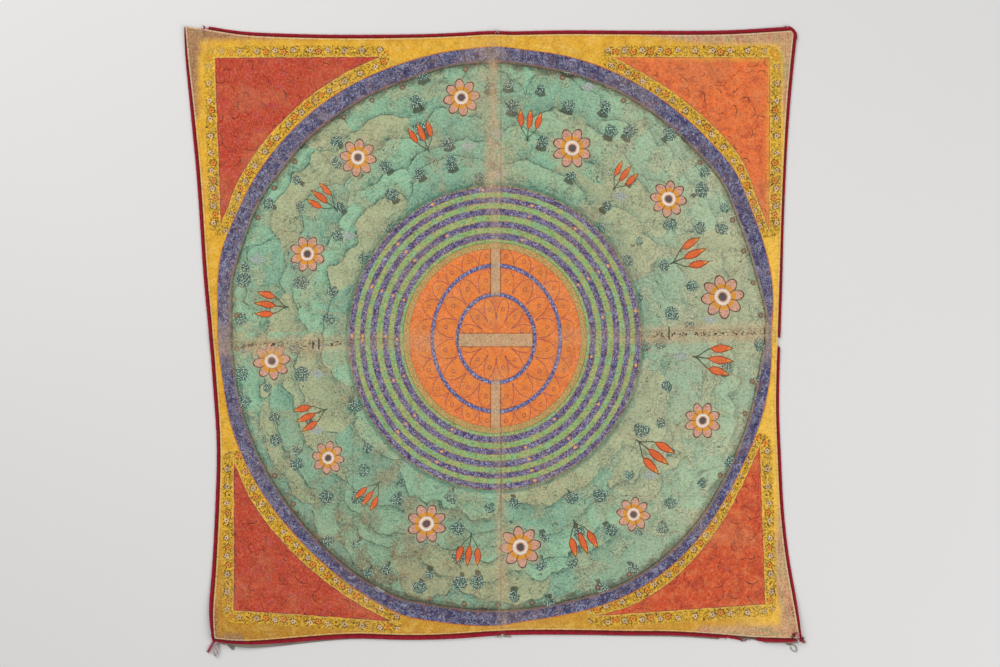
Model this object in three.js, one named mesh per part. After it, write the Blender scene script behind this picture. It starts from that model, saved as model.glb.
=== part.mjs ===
// A square painted cotton cloth laid out flat: the painted sheet with its hem, the backing
// sheet sewn behind it, the red piping round the edge in the lengths that are left of it,
// and the ends of the tie cords at the corners.
// Millimetres, +Z up, +Y towards the top of the painting. The plan is measured from the
// middle of the painted rings, and the whole is then centred on its outline.

import * as THREE from 'three';

// Driving dimensions
const BACKING_THICK = 1.0;
const CLOTH_THICK = 1.2;
const GAP = 0.4;
const PIPING_HIGH = 4.0;
const PIPING_SIDES = 8;

// From the middle of the rings to the middle of the cloth's outline.
const OUTLINE_MIDDLE = new THREE.Vector2(-10.5, -8.7);

// The cloth's corners, inside the piping.
const CORNERS = {
  bottomLeft: new THREE.Vector2(-566, -610),
  bottomRight: new THREE.Vector2(602, -609),
  topLeft: new THREE.Vector2(-625, 613),
  topRight: new THREE.Vector2(592, 605),
};

// How far each edge is drawn in from the straight line between its corners. Rows run from
// the bottom up, or from left to right: part of the way along, millimetres inwards.
const DRAW_COLUMNS = ['along', 'inward'];
const DRAWN_IN = {
  left: table(DRAW_COLUMNS, [
    [0, 0], [0.03, -3], [0.09, 6], [0.17, 16], [0.25, 25], [0.32, 30], [0.41, 28],
    [0.5, 24.5], [0.6, 19], [0.74, 16], [0.86, 9], [0.95, 1.5], [1, 0],
  ]),
  right: table(DRAW_COLUMNS, [
    [0, 0], [0.045, 7.5], [0.13, 25], [0.22, 36], [0.3, 39.5], [0.38, 42.5], [0.46, 39.5],
    [0.52, 36.5], [0.6, 32.5], [0.72, 27], [0.85, 18], [0.93, 9.5], [1, 0],
  ]),
  top: table(DRAW_COLUMNS, [
    [0, 0], [0.025, 3], [0.05, 8.5], [0.09, 16.5], [0.14, 19.5], [0.25, 22], [0.37, 20],
    [0.45, 16], [0.5, 12], [0.53, 13], [0.62, 10.2], [0.85, 10], [0.92, 7], [0.96, 3.5], [1, 0],
  ]),
  bottom: table(DRAW_COLUMNS, [
    [0, 0], [0.025, -6], [0.05, -6], [0.09, -4], [0.17, 4], [0.22, 8], [0.26, 9], [0.31, 5.5],
    [0.4, 7], [0.5, 15], [0.65, 15], [0.7, 13], [0.78, 13], [0.84, 9], [0.94, 0], [1, 0],
  ]),
};

// How far the backing reaches out below the painted cloth's bottom edge, under the piping.
const BACKING_REACH = table(['along', 'reach'], [
  [0, 6], [0.03, 13], [0.05, 14.5], [0.13, 14], [0.18, 12], [0.3, 10.5], [1, 10.5],
]);

// The piping's width along each side.
const WIDTH_COLUMNS = ['along', 'width'];
const PIPING_WIDTH = {
  left: table(WIDTH_COLUMNS, [[0, 5], [0.05, 8], [0.15, 7], [0.85, 6.5], [0.95, 4.5], [1, 2.5]]),
  right: table(WIDTH_COLUMNS, [[0, 4.5], [0.06, 6.5], [0.4, 6.2], [0.7, 5.4], [0.95, 6.6], [1, 7]]),
  top: table(WIDTH_COLUMNS, [[0, 5], [0.1, 6.5], [0.45, 6.5], [0.7, 7], [1, 7.5]]),
  bottom: table(WIDTH_COLUMNS, [[0, 5], [0.06, 6.2], [0.15, 8], [0.55, 8.2], [0.75, 6.8], [1, 7]]),
};

// The lengths of piping. raised lengths lie on the backing, the others beside it.
const PIPING = table(['name', 'side', 'from', 'to', 'raised'], [
  ['piping_left', 'left', 0.001, 1, false],
  ['piping_top', 'top', 0.037, 0.997, false],
  ['piping_right_lower', 'right', 0, 0.4805, false],
  ['piping_right_upper', 'right', 0.493, 1, false],
  ['piping_bottom_left', 'bottom', 0, 0.481, true],
  ['piping_bottom_right', 'bottom', 0.498, 0.878, true],
  ['piping_bottom_corner', 'bottom', 0.925, 0.997, true],
]);
// Which end of a length goes on round a corner, and where on the next side that corner is.
const CORNER_TURNS = {
  piping_right_lower: { end: 'first', side: 'bottom', along: 1 },
  piping_right_upper: { end: 'last', side: 'top', along: 1 },
  piping_bottom_left: { end: 'first', side: 'left', along: 0 },
};
const TURN_STEPS = 4;
const TURN_SHARE = 0.78;

// Soft ridges left by folding, the places where a bottom edge or a corner stands off the
// surface, and how high. A spot is a ridge of no length.
const RIDGES = table(['x0', 'y0', 'x1', 'y1', 'rise', 'reach'], [
  [-2, 640, 4, 90, 2.6, 34],
  [-16, -110, -10, -660, 1.6, 26],
  [32, -110, 38, -660, 1.4, 26],
  [-640, -12, -330, -16, 2.2, 34],
  [300, -16, 640, -22, 2.4, 34],
  [-625, 613, -625, 613, 3.0, 95],
  [592, 605, 592, 605, 1.8, 80],
  [-566, -610, -566, -610, 8.8, 130],
  [602, -609, 602, -609, 8.8, 130],
  [-300, 600, -180, 600, 1.2, 80],
  [330, -606, 430, -608, 1.4, 80],
]);

// The sheets' grid: even steps, with finer ones along the two centre folds.
const COARSE_STEPS = 11;
const FINE_STEPS = 5;
const FINE_HALF = 0.045;
const FOLD_AT = { u: 0.505, v: 0.488 };

// Tie ends: cords that come out from under a corner and lie on the surface.
// Each has its own diameter and route; the white one at the left ends in a knot.
const CORD_SIDES = 8;
const CORD_STEP = 2.5;
const TIES = [
  {
    name: 'tie_red_left',
    diameter: 5.4,
    route: [[-553, -597], [-561, -606], [-568, -617], [-574, -627], [-580, -638]],
  },
  {
    name: 'tie_white_left',
    diameter: 4.6,
    route: [[-540, -593], [-546, -603], [-553, -614], [-559.5, -627.5]],
  },
  {
    name: 'tie_red_right',
    diameter: 6.0,
    route: [[585, -593], [592, -600], [600, -608], [607, -614], [613, -619]],
  },
  {
    name: 'tie_white_right',
    diameter: 3.0,
    route: [
      [570, -602], [575, -609], [582, -617], [589, -623], [594, -626],
      [597.5, -630], [597.5, -635], [594, -637.5], [590, -635.5], [586, -631],
    ],
  },
];
const KNOT = {
  name: 'tie_white_left_knot',
  middle: [-563.6, -637.4],
  long: 19,
  wide: 10,
  turn: THREE.MathUtils.degToRad(70),
};

const MATERIALS = {
  cloth: new THREE.MeshStandardMaterial({ color: 0xa88a52, roughness: 0.92, metalness: 0 }),
  backing: new THREE.MeshStandardMaterial({ color: 0x8a7f70, roughness: 0.95, metalness: 0 }),
  piping: new THREE.MeshStandardMaterial({ color: 0x93101f, roughness: 0.8, metalness: 0 }),
  redTie: new THREE.MeshStandardMaterial({ color: 0xa32a38, roughness: 0.85, metalness: 0 }),
  whiteTie: new THREE.MeshStandardMaterial({ color: 0xb7a79a, roughness: 0.9, metalness: 0 }),
};

// Rows of plain values become rows with named columns.
function table(columns, rows) {
  return rows.map((row) => Object.fromEntries(columns.map((column, i) => [column, row[i]])));
}

// A smooth value between a table's rows.
function readTable(rows, column, along) {
  const last = rows.length - 1;
  let i = 0;
  while (i < last - 1 && along > rows[i + 1].along) {
    i += 1;
  }
  const slopeAt = (k) => {
    const a = rows[Math.max(k - 1, 0)];
    const b = rows[Math.min(k + 1, last)];
    return (b[column] - a[column]) / (b.along - a.along);
  };
  const span = rows[i + 1].along - rows[i].along;
  const t = THREE.MathUtils.clamp((along - rows[i].along) / span, 0, 1);
  const rise = rows[i + 1][column] - rows[i][column];
  const startSlope = slopeAt(i) * span;
  const endSlope = slopeAt(i + 1) * span;
  const bend = t * (1 - t) * ((startSlope - rise) * (1 - t) + (rise - endSlope) * t);
  return rows[i][column] + rise * t + bend;
}

const SIDE_ENDS = {
  left: [CORNERS.bottomLeft, CORNERS.topLeft, 1],
  right: [CORNERS.bottomRight, CORNERS.topRight, -1],
  top: [CORNERS.topLeft, CORNERS.topRight, 1],
  bottom: [CORNERS.bottomLeft, CORNERS.bottomRight, -1],
};

// A point on one side of the painted cloth's outline.
function edgePoint(side, along) {
  const [start, end, turn] = SIDE_ENDS[side];
  const inward = end.clone().sub(start).normalize();
  inward.set(inward.y * turn, -inward.x * turn);
  const point = start.clone().lerp(end, along);
  return point.addScaledVector(inward, readTable(DRAWN_IN[side], 'inward', along));
}

// The direction that leads out of the cloth there.
function edgeOutward(side, along) {
  const turn = SIDE_ENDS[side][2];
  const before = edgePoint(side, Math.max(along - 0.01, 0));
  const after = edgePoint(side, Math.min(along + 0.01, 1));
  const tangent = after.sub(before).normalize();
  return new THREE.Vector2(-tangent.y * turn, tangent.x * turn);
}

// A point of the sheet between its four sides: a Coons patch.
function planPoint(u, v) {
  const across = edgePoint('left', v).multiplyScalar(1 - u);
  across.addScaledVector(edgePoint('right', v), u);
  const upward = edgePoint('bottom', u).multiplyScalar(1 - v);
  upward.addScaledVector(edgePoint('top', u), v);
  const corners = CORNERS.bottomLeft.clone().multiplyScalar((1 - u) * (1 - v));
  corners.addScaledVector(CORNERS.bottomRight, u * (1 - v));
  corners.addScaledVector(CORNERS.topLeft, (1 - u) * v);
  corners.addScaledVector(CORNERS.topRight, u * v);
  return across.add(upward).sub(corners);
}

// How high the underside of the cloth stands off the surface.
function liftAt(x, y) {
  let lift = 0;
  for (const ridge of RIDGES) {
    const run = new THREE.Vector2(ridge.x1 - ridge.x0, ridge.y1 - ridge.y0);
    const from = new THREE.Vector2(x - ridge.x0, y - ridge.y0);
    const share = run.lengthSq() > 0 ? THREE.MathUtils.clamp(from.dot(run) / run.lengthSq(), 0, 1) : 0;
    const distance = from.addScaledVector(run, -share).length();
    if (distance < ridge.reach) {
      lift = Math.max(lift, (ridge.rise * (1 + Math.cos((Math.PI * distance) / ridge.reach))) / 2);
    }
  }
  return lift;
}

function gridLines(foldAt) {
  const lines = [];
  for (let i = 0; i < COARSE_STEPS; i += 1) {
    lines.push(((foldAt - FINE_HALF) * i) / COARSE_STEPS);
  }
  for (let i = 0; i < FINE_STEPS; i += 1) {
    lines.push(foldAt - FINE_HALF + (2 * FINE_HALF * i) / FINE_STEPS);
  }
  for (let i = 0; i <= COARSE_STEPS; i += 1) {
    lines.push(foldAt + FINE_HALF + ((1 - foldAt - FINE_HALF) * i) / COARSE_STEPS);
  }
  return lines;
}

const U_LINES = gridLines(FOLD_AT.u);
const V_LINES = gridLines(FOLD_AT.v);

// A closed sheet over the grid, from its underside's height to its thickness above that.
function sheetGeometry(place, underside, thickness) {
  const columns = U_LINES.length;
  const rows = V_LINES.length;
  const count = columns * rows;
  const positions = [];
  for (const level of [underside, underside + thickness]) {
    for (const v of V_LINES) {
      for (const u of U_LINES) {
        const point = place(u, v);
        const over = planPoint(u, v);
        positions.push(point.x, point.y, liftAt(over.x, over.y) + level);
      }
    }
  }
  const faces = [];
  const at = (i, j, level) => level * count + j * columns + i;
  const addWall = (a, b) => faces.push(a, b, b + count, a, b + count, a + count);
  for (let j = 0; j + 1 < rows; j += 1) {
    for (let i = 0; i + 1 < columns; i += 1) {
      const [a, b, c, d] = [at(i, j, 0), at(i + 1, j, 0), at(i + 1, j + 1, 0), at(i, j + 1, 0)];
      faces.push(a, c, b, a, d, c);
      faces.push(a + count, b + count, c + count, a + count, c + count, d + count);
    }
  }
  for (let i = 0; i + 1 < columns; i += 1) {
    addWall(at(i, 0, 0), at(i + 1, 0, 0));
    addWall(at(i + 1, rows - 1, 0), at(i, rows - 1, 0));
  }
  for (let j = 0; j + 1 < rows; j += 1) {
    addWall(at(columns - 1, j, 0), at(columns - 1, j + 1, 0));
    addWall(at(0, j + 1, 0), at(0, j, 0));
  }
  return meshGeometry(positions, faces);
}

function meshGeometry(positions, faces) {
  const geometry = new THREE.BufferGeometry();
  geometry.setAttribute('position', new THREE.Float32BufferAttribute(positions, 3));
  geometry.setIndex(faces);
  geometry.computeVertexNormals();
  return geometry;
}

// The painted cloth's outline, with its bottom edge let out for the backing.
function backingPoint(u, v) {
  const point = planPoint(u, v);
  if (v === 0) {
    point.y -= readTable(BACKING_REACH, 'reach', u);
    point.x += (0.5 - u) * 4;
  }
  return point;
}

// Where a length of piping runs: points on the cloth's edge, with the direction outwards.
function pipingStations(row) {
  const lines = row.side === 'left' || row.side === 'right' ? V_LINES : U_LINES;
  const margin = 0.004;
  const inner = lines.filter((line) => line > row.from + margin && line < row.to - margin);
  const stations = [row.from, ...inner, row.to].map((along) => ({
    point: edgePoint(row.side, along),
    outward: edgeOutward(row.side, along),
    width: readTable(PIPING_WIDTH[row.side], 'width', along),
  }));
  const turn = CORNER_TURNS[row.name];
  if (turn) {
    const corner = turn.end === 'first' ? stations[0] : stations.at(-1);
    const target = edgeOutward(turn.side, turn.along);
    for (let i = 1; i <= TURN_STEPS; i += 1) {
      const outward = corner.outward.clone().lerp(target, (TURN_SHARE * i) / TURN_STEPS);
      const station = { ...corner, outward: outward.normalize() };
      if (turn.end === 'first') {
        stations.unshift(station);
      } else {
        stations.push(station);
      }
    }
  }
  return stations;
}

// An oval tube against the cloth's edge, closed at both ends.
function pipingGeometry(row) {
  const positions = [];
  const faces = [];
  const stations = pipingStations(row);
  const base = row.raised ? BACKING_THICK + 2 * GAP : 0;
  for (const { point, outward, width } of stations) {
    const foot = liftAt(point.x, point.y) + base;
    for (let k = 0; k < PIPING_SIDES; k += 1) {
      const angle = (2 * Math.PI * (k + 0.5)) / PIPING_SIDES;
      const squared = 1 / Math.cos(Math.PI / PIPING_SIDES);
      const out = GAP + (width / 2) * (1 + squared * Math.cos(angle));
      const up = (PIPING_HIGH / 2) * (1 + squared * Math.sin(angle));
      positions.push(point.x + outward.x * out, point.y + outward.y * out, foot + up);
    }
  }
  const clockwise = row.side === 'right' || row.side === 'bottom';
  const push = (a, b, c) => (clockwise ? faces.push(a, c, b) : faces.push(a, b, c));
  const last = (stations.length - 1) * PIPING_SIDES;
  for (let ring = 0; ring < last; ring += PIPING_SIDES) {
    for (let k = 0; k < PIPING_SIDES; k += 1) {
      const a = ring + k;
      const b = ring + ((k + 1) % PIPING_SIDES);
      push(a, b, b + PIPING_SIDES);
      push(a, b + PIPING_SIDES, a + PIPING_SIDES);
    }
  }
  for (let k = 1; k + 1 < PIPING_SIDES; k += 1) {
    push(0, k + 1, k);
    push(last, last + k, last + k + 1);
  }
  return meshGeometry(positions, faces);
}

// A round cord that lies on the surface along its route.
function cordGeometry({ diameter, route }, height) {
  const points = route.map(([x, y]) => new THREE.Vector3(x, y, height));
  const curve = new THREE.CatmullRomCurve3(points);
  const section = new THREE.Shape();
  for (let k = 0; k < CORD_SIDES; k += 1) {
    const angle = (2 * Math.PI * (k + 0.5)) / CORD_SIDES;
    const corner = [(Math.cos(angle) * diameter) / 2, (Math.sin(angle) * diameter) / 2];
    if (k === 0) {
      section.moveTo(...corner);
    } else {
      section.lineTo(...corner);
    }
  }
  const steps = Math.max(2, Math.round(curve.getLength() / (CORD_STEP * diameter)));
  return new THREE.ExtrudeGeometry(section, { extrudePath: curve, steps: steps * 2 });
}

function knotGeometry() {
  const profile = [[0, -0.5], [0.3, -0.43], [0.45, -0.25], [0.5, 0.05], [0.42, 0.32], [0.22, 0.47], [0, 0.5]];
  const points = profile.map(([r, z]) => new THREE.Vector2(r * KNOT.wide, z * KNOT.long));
  return new THREE.LatheGeometry(points, 12);
}

const textile = new THREE.Group();

function addPiece(name, geometry, material) {
  const piece = new THREE.Mesh(geometry, material);
  piece.name = name;
  textile.add(piece);
  return piece;
}

addPiece('backing_cloth', sheetGeometry(backingPoint, 0, BACKING_THICK), MATERIALS.backing);
const clothFoot = BACKING_THICK + GAP;
addPiece('painted_cloth', sheetGeometry(planPoint, clothFoot, CLOTH_THICK), MATERIALS.cloth);

for (const row of PIPING) {
  addPiece(row.name, pipingGeometry(row), MATERIALS.piping);
}

for (const tie of TIES) {
  const material = tie.name.includes('red') ? MATERIALS.redTie : MATERIALS.whiteTie;
  addPiece(tie.name, cordGeometry(tie, tie.diameter / 2), material);
}

const knot = addPiece(KNOT.name, knotGeometry(), MATERIALS.whiteTie);
knot.rotation.set(0, 0, KNOT.turn);
knot.rotateZ(-Math.PI / 2);
knot.position.set(KNOT.middle[0], KNOT.middle[1], KNOT.wide / 2);

textile.position.set(-OUTLINE_MIDDLE.x, -OUTLINE_MIDDLE.y, 0);

export default textile;
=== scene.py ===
"""Looks for a square painted cotton cloth that lies flat: the painted sheet with its hem, the
backing, the red piping in the lengths that are left of it, the sewing, and the tie ends."""

import functools
import math
import random

import bpy
import numpy as np
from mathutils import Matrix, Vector, bvhtree, kdtree

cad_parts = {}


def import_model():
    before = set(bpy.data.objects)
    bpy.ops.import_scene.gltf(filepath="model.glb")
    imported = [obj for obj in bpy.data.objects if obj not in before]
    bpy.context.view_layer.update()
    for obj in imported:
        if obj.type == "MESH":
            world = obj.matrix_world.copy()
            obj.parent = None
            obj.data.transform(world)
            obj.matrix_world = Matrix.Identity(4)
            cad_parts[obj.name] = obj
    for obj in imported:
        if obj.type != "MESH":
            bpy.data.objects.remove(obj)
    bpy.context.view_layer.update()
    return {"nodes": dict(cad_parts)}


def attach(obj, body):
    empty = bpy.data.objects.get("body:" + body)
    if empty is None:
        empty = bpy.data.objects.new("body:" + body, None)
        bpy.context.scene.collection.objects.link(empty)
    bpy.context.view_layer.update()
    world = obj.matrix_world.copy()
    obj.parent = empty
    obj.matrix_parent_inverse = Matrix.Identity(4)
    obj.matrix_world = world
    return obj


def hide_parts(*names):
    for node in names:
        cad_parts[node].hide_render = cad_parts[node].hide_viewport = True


bl_info = {
    "name": "Cosmic diagram cloth painting",
    "version": (1, 0, 0),
    "blender": (4, 5, 0),
    "location": "3D View > Sidebar > Cloth painting",
    "description": "Builds the painted cloth, its backing, piping, sewing and tie ends",
    "category": "Object",
}

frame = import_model()

MM = 0.001
# The plan is measured in millimetres from a middle near that of the painted rings.
MIDDLE = np.array((10.5, 8.7))
# The painted rings aren't quite round: their middles, and how far to stretch x and y.
OUTER = {"centre": (0, 2), "stretch": (1.007, 0.993)}
INNER = {"centre": (-6, -10), "stretch": (1.038, 1.0)}

# The torn place of the backing's lower edge, in plan millimetres.
TORN_PLACE, TORN_REACH, TORN_DEEP = 486.0, 46.0, 5


def linear(text):
    """A colour written as six hexadecimal figures, as linear light."""
    parts = [int(text[i : i + 2], 16) / 255 for i in (0, 2, 4)]
    return [c / 12.92 if c <= 0.04045 else ((c + 0.055) / 1.055) ** 2.4 for c in parts]


def spot_colour(name, description, text):
    return bpy.props.FloatVectorProperty(
        name=name,
        description=description,
        subtype="COLOR",
        size=3,
        min=0,
        max=1,
        default=linear(text),
    )


def length(name, description, default):
    return bpy.props.FloatProperty(
        name=name,
        description=description,
        default=default,
        min=0,
        subtype="DISTANCE",
        unit="LENGTH",
        precision=5,
    )


class ClothSizes(bpy.types.PropertyGroup):
    painted_thick: length("Painted cloth", "Thickness of the painted cloth", 1.2 * MM)
    backing_thick: length("Backing", "Thickness of the backing cloth", 1.0 * MM)
    stitch_pitch: length("Stitch pitch", "Distance from stitch to stitch", 3.5 * MM)
    stitch_long: length("Stitch", "Length of one stitch", 2.3 * MM)
    thread_thick: length("Thread", "Thickness of the sewing thread", 0.5 * MM)


class PaintColours(bpy.types.PropertyGroup):
    ground: spot_colour("Ground", "Yellow ground", "F0B428")
    ground_low: spot_colour("Lower ground", "Mustard ground at the bottom", "CE9220")
    red_left: spot_colour("Left corners", "Brick red corner fields", "C43C24")
    red_right: spot_colour("Right corners", "Orange red corner fields", "F47636")
    ring: spot_colour("Rings", "Blue violet of the rings", "353164")
    ring_line: spot_colour("Ring lines", "Maroon lines beside the rings", "8C2C4C")
    ripple: spot_colour("Ripples", "Lilac strokes on the rings", "BCC0D8")
    land: spot_colour("Green field", "Sea green of the wide ring", "98C6A0")
    land_deep: spot_colour("Teal washes", "Shadows of the green field", "336A5E")
    land_pale: spot_colour("Pale hills", "Worn olive of the hills", "B4B88C")
    band: spot_colour("Green bands", "Green between the narrow rings", "8CB870")
    disc: spot_colour("Disc", "Orange of the middle", "F48436")
    disc_line: spot_colour("Disc lines", "Purple brown lines on the orange", "8A4658")
    bare: spot_colour("Bare cloth", "Cream cotton without paint", "D69E6A")
    worn: spot_colour("Worn cloth", "Beige cotton where paint has gone", "C6A27A")


class TrimColours(bpy.types.PropertyGroup):
    backing: spot_colour("Backing", "Grey beige lining cloth", "8A8276")
    piping: spot_colour("Piping", "Crimson cloth of the piping", "930A1A")
    # Painted shade: the piping's darker colour beside the seam, where it turns in to the cloth.
    piping_seam_shade: spot_colour("Piping seam", "Piping beside the seam", "56040C")
    red_tie: spot_colour("Red ties", "Faded red cord", "9E2234")
    white_tie: spot_colour("White ties", "Lilac grey cotton cord", "BDB0AC")
    thread: spot_colour("Thread", "Cream sewing thread", "D8C2A0")


class StageSettings(bpy.types.PropertyGroup):
    camera_high: length("Camera height", "Height of the camera over the floor", 4.0)
    view_wide: length("View width", "Width of what the camera sees", 2.0)
    key_power: bpy.props.FloatProperty(
        name="Main light", description="Power of the large soft light", default=64, unit="POWER"
    )
    fill_power: bpy.props.FloatProperty(
        name="Second light", description="Power of the filling light", default=62, unit="POWER"
    )
    floor: spot_colour("Floor", "Colour of the floor", "E4E2DE")


# ---- Writing patterns as node trees ----


class Mark:
    """A number, vector or colour that changes over a surface, written with + - * /."""

    def __init__(self, page, socket, vector=False):
        self.page, self.socket, self.vector = page, socket, vector

    def __add__(self, other):
        return self.page.sum("ADD", self, other)

    def __sub__(self, other):
        return self.page.sum("SUBTRACT", self, other)

    def __mul__(self, other):
        return self.page.sum("MULTIPLY", self, other)

    def __truediv__(self, other):
        return self.page.sum("DIVIDE", self, other)

    def lay(self, colour, amount):
        """This colour with another one over it, as thickly as the amount says."""
        return self.page.mix(self, colour, amount)

    def __rsub__(self, other):
        return self.page.math("SUBTRACT", other, self)

    def __abs__(self):
        return self.page.math("ABSOLUTE", self)

    __rmul__ = __mul__


class Page:
    """A node tree that is being written."""

    def __init__(self, tree):
        self.tree = tree

    def node(self, kind, inputs=(), **settings):
        made = self.tree.nodes.new(kind)
        for name, value in settings.items():
            setattr(made, name, value)
        for key, value in dict(inputs).items():
            self.put(made.inputs[key], value)
        return made

    def chance(self, index):
        """The outlets of a node that gives chance numbers, the same ones for the same index."""
        return self.node("ShaderNodeTexWhiteNoise", {"W": index}, noise_dimensions="1D").outputs

    def put(self, socket, value):
        if isinstance(value, Mark):
            self.tree.links.new(value.socket, socket)
        elif hasattr(value, "__len__") and socket.type == "RGBA":
            socket.default_value = (*value, 1) if len(value) == 3 else value
        else:
            socket.default_value = value

    def math(self, operation, *values):
        made = self.node("ShaderNodeMath", operation=operation)
        for socket, value in zip(made.inputs, values, strict=False):
            self.put(socket, value)
        return Mark(self, made.outputs[0])

    def sum(self, operation, a, b):
        if not a.vector:
            return self.math(operation, a, b)
        if isinstance(b, (int, float)) or not getattr(b, "vector", True):
            if operation == "MULTIPLY":
                made = self.node("ShaderNodeVectorMath", {"Vector": a, "Scale": b}, operation="SCALE")
                return Mark(self, made.outputs[0], True)
            b = (b, b, b)
        made = self.node("ShaderNodeVectorMath", {0: a, 1: b}, operation=operation)
        return Mark(self, made.outputs[0], True)

    def scatter(self, spot, scale, uneven):
        """Uneven cells: the middle of each, two numbers of its own, and the way from there."""
        inputs = {"Vector": spot, "Scale": scale, "Randomness": uneven}
        cells = self.node("ShaderNodeTexVoronoi", inputs, voronoi_dimensions="2D", feature="F1")
        middle = Mark(self, cells.outputs["Position"], True)
        first, second, _ = self.split(Mark(self, cells.outputs["Color"], True))
        x, y, _ = self.split(spot - middle)
        return middle, first, second, x, y

    def join(self, x, y, z=0.0):
        made = self.node("ShaderNodeCombineXYZ", {0: x, 1: y, 2: z})
        return Mark(self, made.outputs[0], True)

    def split(self, vector):
        made = self.node("ShaderNodeSeparateXYZ", {0: vector})
        return [Mark(self, s) for s in made.outputs]

    def step(self, value, low, high):
        """From 0 at low to 1 at high."""
        inputs = {"Value": value, "From Min": low, "From Max": high}
        made = self.node("ShaderNodeMapRange", inputs, interpolation_type="SMOOTHSTEP", clamp=False)
        return Mark(self, made.outputs[0])

    def near(self, value, middle, reach, soft):
        """1 within reach of the middle, and 0 past its soft edge."""
        return self.step(abs(value - middle), reach + soft, reach - soft)

    def mix(self, a, b, share):
        """One colour over another; either may be written as six hexadecimal figures."""
        a, b = (linear(c) if isinstance(c, str) else c for c in (a, b))
        made = self.node("ShaderNodeMix", {0: share, 6: a, 7: b}, data_type="RGBA")
        return Mark(self, made.outputs[2])

    def least(self, *values):
        return functools.reduce(lambda a, b: self.math("MINIMUM", a, b), values)

    def most(self, *values):
        return functools.reduce(lambda a, b: self.math("MAXIMUM", a, b), values)

    def reach(self, x, y):
        """Distance from 0, 0."""
        return self.math("SQRT", x * x + y * y)

    def root(self, value):
        """Square root, of nothing less than 0."""
        return self.math("SQRT", self.most(value, 0.0))

    def angle(self, y, x):
        return self.math("ARCTAN2", y, x)

    def run(self, turn, radius):
        """Distance round a ring, from the share of a turn."""
        return (turn - 0.5) * (math.tau * radius)

    def whole(self, value):
        """Which cell a value is in."""
        return self.math("FLOOR", value)

    def share(self, value):
        """How far a value is through its cell, from 0 to 1."""
        return self.math("FRACT", value)

    def noise(self, vector, scale, detail=2.0, rough=0.5, colour=False, warp=0.0):
        inputs = {"Vector": vector, "Scale": scale, "Detail": detail, "Roughness": rough}
        made = self.node("ShaderNodeTexNoise", inputs, noise_dimensions="2D")
        made.inputs["Distortion"].default_value = warp
        return Mark(self, made.outputs["Color" if colour else "Fac"], colour)

    def contours(self, value, lines, thick):
        """Thin lines of equal height."""
        folded = abs(self.share(value * lines) - 0.5)
        return self.step(folded, thick, thick * 0.4)

    def bands(self, value, stops):
        """Bands of plain colour; each stop is a place from 0 to 1 and the colour from there on."""
        made = self.node("ShaderNodeValToRGB", {0: value})
        made.color_ramp.interpolation = "CONSTANT"
        points = made.color_ramp.elements
        while len(points) < len(stops):
            points.new(1)
        for point, (place, colour) in zip(points, stops, strict=True):
            point.position, point.color = place, (*colour, 1)
        return Mark(self, made.outputs[0])

    def map(self, name, scale=1.0):
        made = self.node("ShaderNodeUVMap", uv_map=name)
        return Mark(self, made.outputs[0], True) * scale

    def held(self, name):
        """A number kept on the mesh."""
        made = self.node("ShaderNodeAttribute", attribute_name=name)
        return Mark(self, made.outputs["Fac"])

    def place(self, scale=1.0):
        made = self.node("ShaderNodeTexCoord")
        return Mark(self, made.outputs["Object"], True) * scale

    def use(self, effect, **inputs):
        """One of the shared effects, and what it puts out."""
        made = self.node("ShaderNodeGroup", node_tree=bpy.data.node_groups[effect])
        for name, value in inputs.items():
            self.put(made.inputs[name.replace("_", " ")], value)
        outs = [Mark(self, s, s.type == "VECTOR") for s in made.outputs]
        return outs[0] if len(outs) == 1 else outs


SOCKETS = {"number": "NodeSocketFloat", "vector": "NodeSocketVector", "colour": "NodeSocketColor"}


def effect(name, takes, gives):
    """Makes a shared effect from a function that draws it."""

    def wrap(draw):
        if name in bpy.data.node_groups:
            bpy.data.node_groups.remove(bpy.data.node_groups[name])
        tree = bpy.data.node_groups.new(name, "ShaderNodeTree")
        for direction, rows in (("INPUT", takes), ("OUTPUT", gives)):
            for label, kind in rows.items():
                tree.interface.new_socket(label, in_out=direction, socket_type=SOCKETS[kind])
        page = Page(tree)
        source, end = page.node("NodeGroupInput"), page.node("NodeGroupOutput")
        marks = [Mark(page, s, takes[s.name] == "vector") for s in source.outputs[: len(takes)]]
        results = draw(page, *marks)
        results = results if isinstance(results, tuple) else (results,)
        for socket, value in zip(end.inputs, results, strict=False):
            page.put(socket, value)
        return draw

    return wrap


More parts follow.
